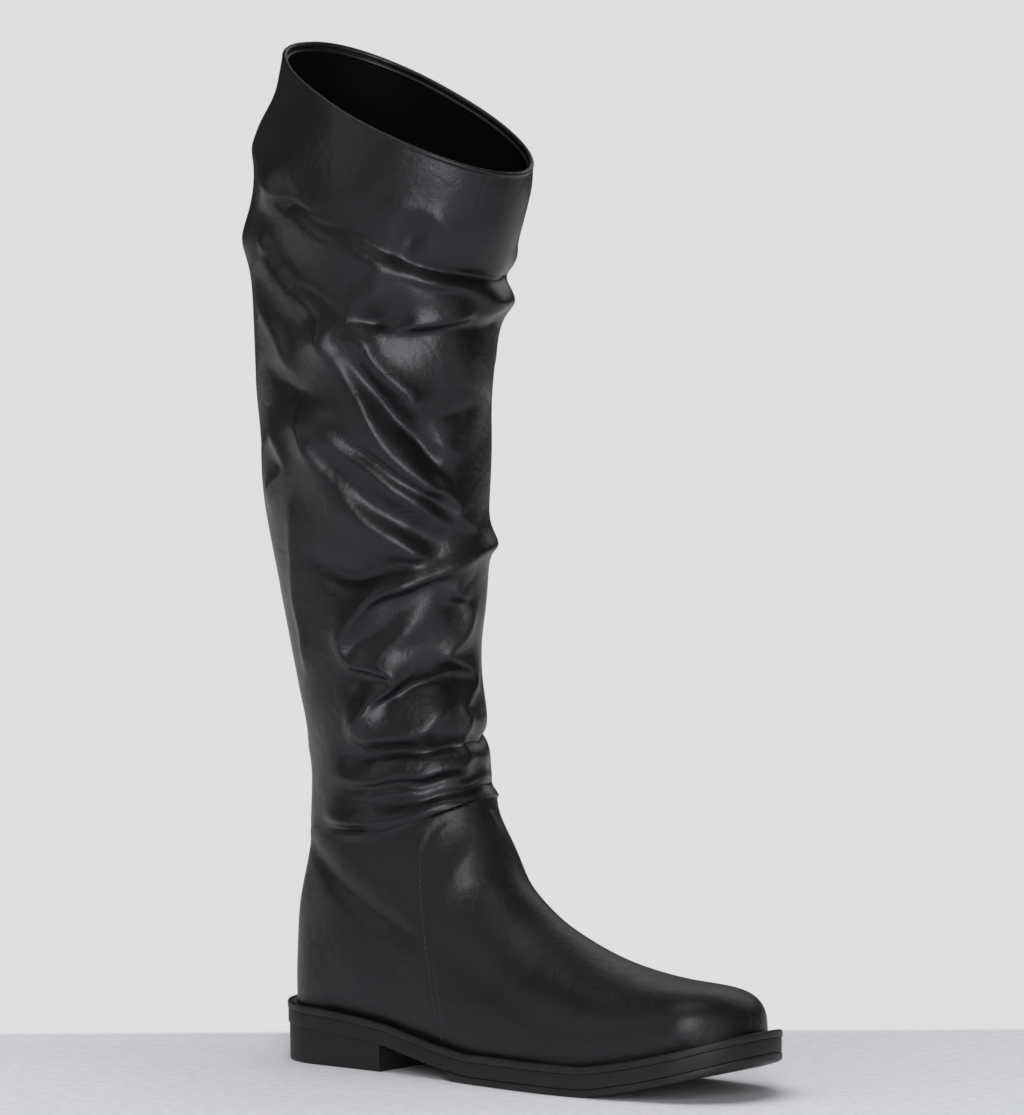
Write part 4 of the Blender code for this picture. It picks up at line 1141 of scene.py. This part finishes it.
def make_heel(skin):
    profile = ((1.1, tread_top, -0.02), (1.0, tread_top, 0.5), (1.2, floor_level, -1.2),
               (1.4, floor_level, -0.5), (2.1, floor_level, 0))
    t = np.linspace(0, 1, HEEL_STATIONS)

    def heel_seat(inset):
        back = HEEL_BACK_X + inset
        return back + (HEEL_BREAST_X - back) * (1 - np.cos(t * np.pi / 2))

    make_layer("heel_block", profile, heel_seat, skin, "heel_rubber", "heel")


def make_sock(skin):
    """Sock lining on the insole, slightly rounded at its edge."""
    # The inset grows along the toe, so the tip is found in steps
    tip = TOE_TIP_X
    for _ in range(SOCK_TIP_STEPS):
        tip = TOE_TIP_X - wall_inset(tip)
    back = HEEL_BACK_X + wall_inset(HEEL_BACK_X)
    xs = stations(back, tip, SOCK_STATIONS)
    middle = (back + tip) / 2
    rims = []
    for extra, drop in ((0.0, INSOLE_THICK), (0.0, 0.5), (0.2, 0.15), (0.7, 0.0)):
        shrunk = middle + (xs - middle) * (1 - 2 * extra / (tip - back))

        def inset(x, extra=extra):
            return wall_inset(x) + extra

        rims.append(rim(shrunk, inset, lowered(board_top, drop)))
    link(rims_mesh("sock_lining", rims), skin, "insole_board", "insole")


def make_shaft(rings, skin, lining_skin):
    """Outer leather of the shaft with its turned collar, and the lining inside."""
    start = rings[0] - grid_normals(rings, closed=True)[0] * SEAM_TUCK
    rows = np.concatenate([start[None], rings, collar_rows(rings)])
    mesh = grid_mesh("shaft_leather", rows, closed=True)
    cut_zip_slot(mesh)
    link(mesh, skin, "shaft_leather", "shaft")

    coarse = eased(rings[::LINING_STEP, ::LINING_STEP].copy(), LINING_EASE_PASSES, closed=True)
    inner = coarse - grid_normals(coarse, closed=True) * LINING_DEPTH
    mesh = grid_mesh("shaft_lining", inner[:-LINING_ROWS_OFF], closed=True)
    cut_zip_slot(mesh)
    link(mesh, lining_skin, "shaft_leather")


def make_upper(rows, skin, lining_skin):
    """Outer leather of the foot with its vamp seam, and the lining inside."""
    mesh = grid_mesh("upper_leather", rows, closed=False)
    cut_zip_slot(mesh)
    seam_distance(mesh)
    link(mesh, skin, "upper_leather", "upper")

    coarse = rows[::LINING_STEP + 1, ::LINING_STEP]
    inner = coarse - grid_normals(coarse, closed=False) * LINING_DEPTH
    inner[..., 2] = np.maximum(inner[..., 2], feather_z(inner[..., 0]))
    mesh = grid_mesh("upper_lining", inner, closed=False)
    cut_zip_slot(mesh)
    link(mesh, lining_skin, "upper_leather")


def surface_tree(*grids):
    """Tree for finding places on grids of leather, each given with whether its rows close."""
    points, faces = [], []
    for rows, closed in grids:
        faces += grid_faces(rows.shape[0], rows.shape[1], closed, len(points))
        points += [tuple(p) for p in rows.reshape(-1, 3)]
    return BVHTree.FromPolygons(points, faces)


class Wall:
    """Finds the outside of the leather on the inner side of the boot."""

    def __init__(self, tree):
        self.tree = tree

    def at(self, x, z):
        hit = self.tree.ray_cast(Vector((x, RAY_START, z)), Vector((0, -1, 0)))[0]
        if hit is None or hit.y < 0:
            hit = self.tree.ray_cast(Vector((x, RAY_START, z + SEAM_SKIP)), Vector((0, -1, 0)))[0]
        return hit.y


def piping(name, points, radius, skin, slot):
    """Round cord of leather along a closed line of points, as a mesh."""
    points = np.array(points, dtype=float)
    ahead = np.roll(points, -1, axis=0) - np.roll(points, 1, axis=0)
    ahead /= np.linalg.norm(ahead, axis=1, keepdims=True)
    side = np.cross(ahead, np.array([0.0, 1.0, 0.0]))
    side /= np.maximum(np.linalg.norm(side, axis=1, keepdims=True), 1e-9)
    other = np.cross(side, ahead)
    angles = np.linspace(0, 2 * math.pi, PIPING_SIDES, endpoint=False)
    rings = []
    for i, point in enumerate(points):
        rings.append([point + radius * (math.cos(a) * side[i] + math.sin(a) * other[i]) for a in angles])
    rings.append(rings[0])
    link(rims_mesh(name, rings, caps=False, sharp_angle=70), skin, slot)


def stitches(name, places, outward, length, radius, skin, slot):
    """Row of separate short stitches as one mesh: each a capsule lying along the row."""
    points, faces = [], []
    for centre, ahead, out in zip(places[1:-1], places[2:] - places[:-2], outward[1:-1]):
        ahead = ahead / np.linalg.norm(ahead)
        side = np.cross(ahead, out)
        side /= np.linalg.norm(side)
        up = np.cross(side, ahead)
        rings = []
        for run, girth in STITCH_RINGS:
            dip = 0.5 * radius * (1 - girth)
            ring = []
            for a in np.linspace(0, 2 * math.pi, STITCH_SIDES, endpoint=False):
                swing = math.cos(a) * side + math.sin(a) * up
                ring.append(centre + ahead * run * length + swing * radius * girth - up * dip)
            rings.append(ring)
        prism(points, faces, rings)
    link(mesh_from(name, points, faces, 80), skin, slot)


def make_seam_stitches(upper_rows, thread):
    """Stitches beside the vamp seam, sunk in the leather."""
    tree = surface_tree((upper_rows, False))
    path = smooth_path(VAMP_SEAM, 60)
    run = np.concatenate([[0], np.cumsum(np.hypot(*np.diff(path, axis=0).T))])
    wanted = np.arange(VAMP_STITCH_START, VAMP_STITCH_END, VAMP_STITCH_PITCH)
    xs, zs = np.interp(wanted, run, path[:, 0]), np.interp(wanted, run, path[:, 1])
    places, outward = [], []
    for x, z in zip(xs - VAMP_STITCH_BESIDE, zs):
        hit, normal, _, _ = tree.ray_cast(Vector((x, -RAY_START, z)), Vector((0, 1, 0)))
        if normal.y > 0:
            normal = -normal
        places.append(np.array(hit + normal * VAMP_STITCH_LIFT))
        outward.append(np.array(normal))
    stitches("vamp_stitches", np.array(places), np.array(outward), VAMP_STITCH_LENGTH,
             VAMP_STITCH_RADIUS, thread, "upper_leather")


def make_tape(wall, skin):
    """Woven tape behind the slot."""
    rows = []
    for t in np.linspace(-TAPE_PAST_ENDS, 1 + TAPE_PAST_ENDS, TAPE_ROWS):
        row = []
        for v in np.linspace(-TAPE_WIDTH / 2, TAPE_WIDTH / 2, TAPE_COLUMNS):
            x, z = zip_plan(t, v)
            row.append((x, wall.at(x, z) - TAPE_DEPTH, z))
        rows.append(row + [(x, y - TAPE_THICK, z) for x, y, z in row[::-1]])
    link(rims_mesh("zip_tape_cloth", rows), skin, "zip_cloth", "zip_tape")


def make_slot_edge(wall, skin):
    """Turned leather round the slot."""
    half = SLOT_WIDTH / 2
    ups, overs = np.linspace(0, 1, EDGE_POINTS), np.linspace(-half, half, END_POINTS)[1:-1]
    downs, backs = np.linspace(1, 0, EDGE_POINTS), np.linspace(half, -half, END_POINTS)[1:-1]
    loop = [zip_plan(t, -half) for t in ups] + [zip_plan(1, v) for v in overs]
    loop += [zip_plan(t, half) for t in downs] + [zip_plan(0, v) for v in backs]
    edge = [(x, wall.at(x, z) - PIPING_RADIUS * PIPING_SUNK, z) for x, z in loop]
    piping("zip_leather_edge", edge, PIPING_RADIUS, skin, "upper_leather")


def make_zip_stitches(wall, thread):
    """Stitching along both sides of the slot."""
    for name, side in (("zip_stitches_front", 1), ("zip_stitches_back", -1)):
        places = []
        for t in np.arange(0.0, 1.0, ZIP_STITCH_PITCH / ZIP_LENGTH):
            x, z = zip_plan(t, side * (SLOT_WIDTH / 2 + ZIP_STITCH_BESIDE))
            places.append((x, wall.at(x, z), z))
        outward = np.tile(np.array([0.0, 1.0, 0.0]), (len(places), 1))
        stitches(name, np.array(places), outward, ZIP_STITCH_LENGTH, ZIP_STITCH_RADIUS, thread,
                 "upper_leather")


def make_zip(wall, skin, thread):
    """Tape, interlocked teeth, turned leather edges with their stitching, slider and pull."""
    make_tape(wall, zip_cloth())
    make_teeth(wall, nylon("zip_nylon", (0.013, 0.013, 0.0135)))
    make_slot_edge(wall, skin)
    make_zip_stitches(wall, thread)
    joint = frame["joints"][0]
    pivot = Vector(joint["pos_m"]) / MM
    across = -Vector(joint["axis"]).normalized()
    out = (ZIP_FACES - across * ZIP_FACES.dot(across)).normalized()
    up = out.cross(across)
    metal = dark_metal()
    make_slider(pivot, up, across, out, metal)
    make_pull(pivot, up, across, out, metal)


def make_teeth(wall, skin):
    """Two rows of teeth that mesh along the middle of the tape."""
    points, faces = [], []
    count = int(ZIP_LENGTH * CHAIN_SHARE / TOOTH_PITCH)
    for i in range(count):
        t = CHAIN_START + CHAIN_SHARE * i / count
        side = 1 if i % 2 else -1
        middle = wall.at(*zip_plan(t)) - CHAIN_DEPTH + CHAIN_LIFT
        rings = []
        for reach, swell in TOOTH_RINGS:
            ring = []
            for run, height in TOOTH_OUTLINE:
                x, z = zip_plan(t + run * TOOTH_RUN * TOOTH_PITCH * swell / ZIP_LENGTH, side * reach)
                ring.append((x, middle + (height - 0.5) * TOOTH_HEIGHT * swell, z))
            rings.append(ring)
        prism(points, faces, rings)
    link(mesh_from("zip_teeth_rows", points, faces, 50), skin, "zip_teeth", "zip_chain")


def bevelled(piece, width):
    """Round the edges of a small hard piece and keep the result in its mesh."""
    edge = piece.modifiers.new("edge", "BEVEL")
    edge.width = width * MM
    edge.segments = 3
    edge.limit_method = "ANGLE"
    edge.angle_limit = math.radians(30)
    evaluated = piece.evaluated_get(bpy.context.evaluated_depsgraph_get())
    rounded = bpy.data.meshes.new_from_object(evaluated)
    piece.modifiers.remove(edge)
    piece.data = rounded
    for face in rounded.polygons:
        face.use_smooth = True


def prism(points, faces, rings):
    """Add a solid through rings of equal length, closed at both ends."""
    first, count = len(points), len(rings[0])
    for ring in rings:
        points += ring
    faces += grid_faces(len(rings), count, True, first)
    faces.append(tuple(range(first, first + count)))
    faces.append(tuple(range(len(points) - count, len(points))))


def make_slider(pivot, up, across, out, metal):
    """Slider body with shoulders and the bridge that holds the pull."""
    seat = pivot - out * (SLIDER_THICK + BRIDGE_CLEAR)
    half, wide = SLIDER_LENGTH / 2, SLIDER_WIDTH / 2
    outline = ((-half, -0.78 * wide), (-0.2 * half, -0.78 * wide), (0.5 * half, -wide), (half, -0.8 * wide),
               (half, 0.8 * wide), (0.5 * half, wide), (-0.2 * half, 0.78 * wide), (-half, 0.78 * wide))
    points, faces = [], []
    low = [seat + up * u + across * v for u, v in outline]
    high = [seat + up * u * 0.94 + across * v * 0.9 + out * SLIDER_THICK for u, v in outline]
    prism(points, faces, (low, high))
    root, under = SLIDER_THICK - 0.2, SLIDER_THICK + 2 * BRIDGE_CLEAR
    over, reach, inside = under + BRIDGE_BAR, BRIDGE_REACH, BRIDGE_REACH - BRIDGE_BAR
    arch = ((-reach, root), (-reach, under), (-inside, over), (inside, over), (reach, under), (reach, root),
            (inside, root), (inside, under), (-inside, under), (-inside, root))
    side = across * BRIDGE_WIDTH / 2
    prism(points, faces, ([seat + up * u + out * w - side for u, w in arch],
                          [seat + up * u + out * w + side for u, w in arch]))
    piece = link(mesh_from("slider_body", points, faces), metal, "slider_metal", "zip_slider")
    bevelled(piece, SLIDER_BEVEL)


def make_pull(pivot, up, across, out, metal):
    """Pull tab: a flat plate with soft corners and a window round the bridge."""
    half, window = PULL_WIDTH / 2, WINDOW_WIDTH / 2
    top, opening = -PULL_BAR / 2, PULL_BAR / 2
    closing, tip = opening + WINDOW_LENGTH, top + PULL_LENGTH
    border, hole = [], []
    for angle in np.linspace(0, 2 * math.pi, PULL_POINTS, endpoint=False):
        c, s = math.cos(angle), math.sin(angle)
        square = max(abs(c), abs(s))
        soft = PULL_CORNER + (1 - PULL_CORNER) * square
        u, v = c / square * soft, s / square * soft
        border.append(((top + tip) / 2 + u * (tip - top) / 2, v * half))
        hole.append(((opening + closing) / 2 + c / square * (closing - opening) / 2, s / square * window))
    rings = []
    for outline, depth in ((border, -0.5), (border, 0.5), (hole, 0.5), (hole, -0.5), (border, -0.5)):
        rings.append([pivot + across * v - up * u + out * depth * PULL_THICK for u, v in outline])
    mesh = rims_mesh("pull_tab", rings, caps=False)
    piece = link(mesh, metal, "pull_metal", "zip_pull", body=PULL_BODY)
    bevelled(piece, PULL_BEVEL)


def make_boot():
    """All the pieces of the boot."""
    welt_skin = rubber("welt_rubber", (0.006, 0.006, 0.0064), (0.016, 0.016, 0.0165), 0.46, 0.5)
    side_skin = rubber("sole_rubber", (0.005, 0.005, 0.0053), (0.012, 0.012, 0.0125), 0.54, 0.45)
    skin = leather("boot_leather", 0.40)
    foot_skin = leather("foot_leather", 0.47, seam=True)
    lining = lining_leather()
    thread = nylon("sewing_thread", (0.02, 0.02, 0.021))
    make_welt(welt_skin)
    make_midsole(side_skin)
    make_half_sole(welt_skin)
    make_heel(side_skin)
    make_sock(lining)
    foot_rows, leg_rings = upper_grid(), shaft_rings()
    make_shaft(leg_rings, skin, lining)
    make_upper(foot_rows, foot_skin, lining)
    make_seam_stitches(foot_rows, thread)
    make_zip(Wall(surface_tree((foot_rows, False), (leg_rings, True))), skin, thread)


def make_floor():
    """Pale floor that runs into a bright backdrop a hand's width behind the boot."""
    mesh = bpy.data.meshes.new("floor")
    corners = [(-1, -1), (1, -1), (1, 1), (-1, 1)]
    mesh.from_pydata([(x * FLOOR_REACH, y * FLOOR_REACH, 0) for x, y in corners], [], [(0, 1, 2, 3)])
    made, tree, shader, place = new_skin("floor_paper", (0.6, 0.62, 0.65), 0.85)
    swing = math.radians(CAMERA_SWING)
    depth = add(tree, "ShaderNodeVectorMath", {0: place, 1: (-math.sin(swing), math.cos(swing), 0)},
                operation="DOT_PRODUCT").outputs["Value"]
    fine = noise(tree, place, 160.0, 6.0, 0.65)
    behind = ramp(tree, depth, BACKDROP_START, BACKDROP_WHOLE)
    near = mixed(tree, ramp(tree, fine, 0.3, 0.7), (0.66, 0.67, 0.70), (0.73, 0.74, 0.77))
    dress(tree, shader, {"Base Color": mixed(tree, behind, near, (0.0, 0.0, 0.0)),
                         "Normal": bumps(tree, (fine, 0.2, 0.6)), "Emission Strength": behind},
          {"Emission Color": (*BACKDROP, 1), "Specular IOR Level": 0.0})
    mesh.materials.append(made)
    floor = bpy.data.objects.new("floor", mesh)
    bpy.context.scene.collection.objects.link(floor)


# Studio lamps; a lamp that is not seen in the gloss only brightens the matt surfaces
Lamp = namedtuple("Lamp", "name place aim size power in_gloss")
LAMPS = (
    Lamp("softbox_front", (1750, -1950, 950), (40, 0, 200), (850, 1700), 38, True),
    Lamp("softbox_left", (-800, -1750, 1050), (60, 0, 150), (700, 1500), 3.8, True),
    Lamp("panel_left", (-2000, -400, 600), (20, 0, 260), (1400, 1800), 0.8, True),
    Lamp("panel_right", (2100, -250, 700), (60, 0, 250), (900, 1500), 2, True),
    Lamp("overhead", (100, -250, 2300), (60, 0, 100), (1300, 1100), 7, True),
    Lamp("glow_behind", (-300, 1900, 1350), (100, 0, 100), (2400, 900), 6, True),
    Lamp("ceiling", (0, -200, 2600), (40, 0, 0), (2600, 2600), 44, False),
)


def make_lights():
    """Soft lamps and an even pale background that adds little light of its own."""
    for lamp in LAMPS:
        data = bpy.data.lights.new(lamp.name, "AREA")
        data.shape = "RECTANGLE"
        data.size, data.size_y = (s * MM for s in lamp.size)
        data.energy = lamp.power
        light = bpy.data.objects.new(lamp.name, data)
        light.location = Vector(lamp.place) * MM
        light.rotation_euler = (Vector(lamp.aim) - Vector(lamp.place)).to_track_quat("-Z", "Y").to_euler()
        light.visible_glossy = lamp.in_gloss
        bpy.context.scene.collection.objects.link(light)
    world = bpy.data.worlds.new("studio")
    world.use_nodes = True
    tree = world.node_tree
    seen = add(tree, "ShaderNodeBackground", {"Color": (*BACKDROP, 1), "Strength": 1.0})
    lit = add(tree, "ShaderNodeBackground", {"Color": (0.80, 0.82, 0.86, 1), "Strength": 0.05})
    chosen = add(tree, "ShaderNodeMixShader", {0: add(tree, "ShaderNodeLightPath").outputs["Is Camera Ray"],
                                               1: lit.outputs[0], 2: seen.outputs[0]})
    tree.links.new(chosen.outputs[0], tree.nodes["World Output"].inputs["Surface"])
    bpy.context.scene.world = world
    bpy.context.scene.view_settings.view_transform = "Standard"


def make_camera():
    """Camera in the photograph's place, level across, turned until the heel falls on its pixel."""
    swing, rise = math.radians(CAMERA_SWING), math.radians(CAMERA_RISE)
    place = Vector((math.sin(swing), -math.cos(swing), math.tan(rise))) * CAMERA_DISTANCE
    heading = math.atan2(-place.y, -place.x) + math.atan((HEEL_PIXEL[0] - PICTURE_WIDTH / 2) / FOCAL_PIXELS)
    pitch = rise - math.atan((HEEL_PIXEL[1] - PICTURE_HEIGHT / 2) / FOCAL_PIXELS)
    level = math.cos(pitch)
    ahead = Vector((math.cos(heading) * level, math.sin(heading) * level, -math.sin(pitch)))
    data = bpy.data.cameras.new("camera")
    data.sensor_fit = "VERTICAL"
    data.sensor_height = 36.0
    data.lens = data.sensor_height * FOCAL_PIXELS / PICTURE_HEIGHT
    data.clip_end = 50.0
    camera = bpy.data.objects.new("camera", data)
    camera.location = place * MM
    camera.rotation_euler = ahead.to_track_quat("-Z", "Y").to_euler()
    bpy.context.scene.collection.objects.link(camera)
    bpy.context.scene.camera = camera


make_camera()
make_boot()
make_floor()
make_lights()
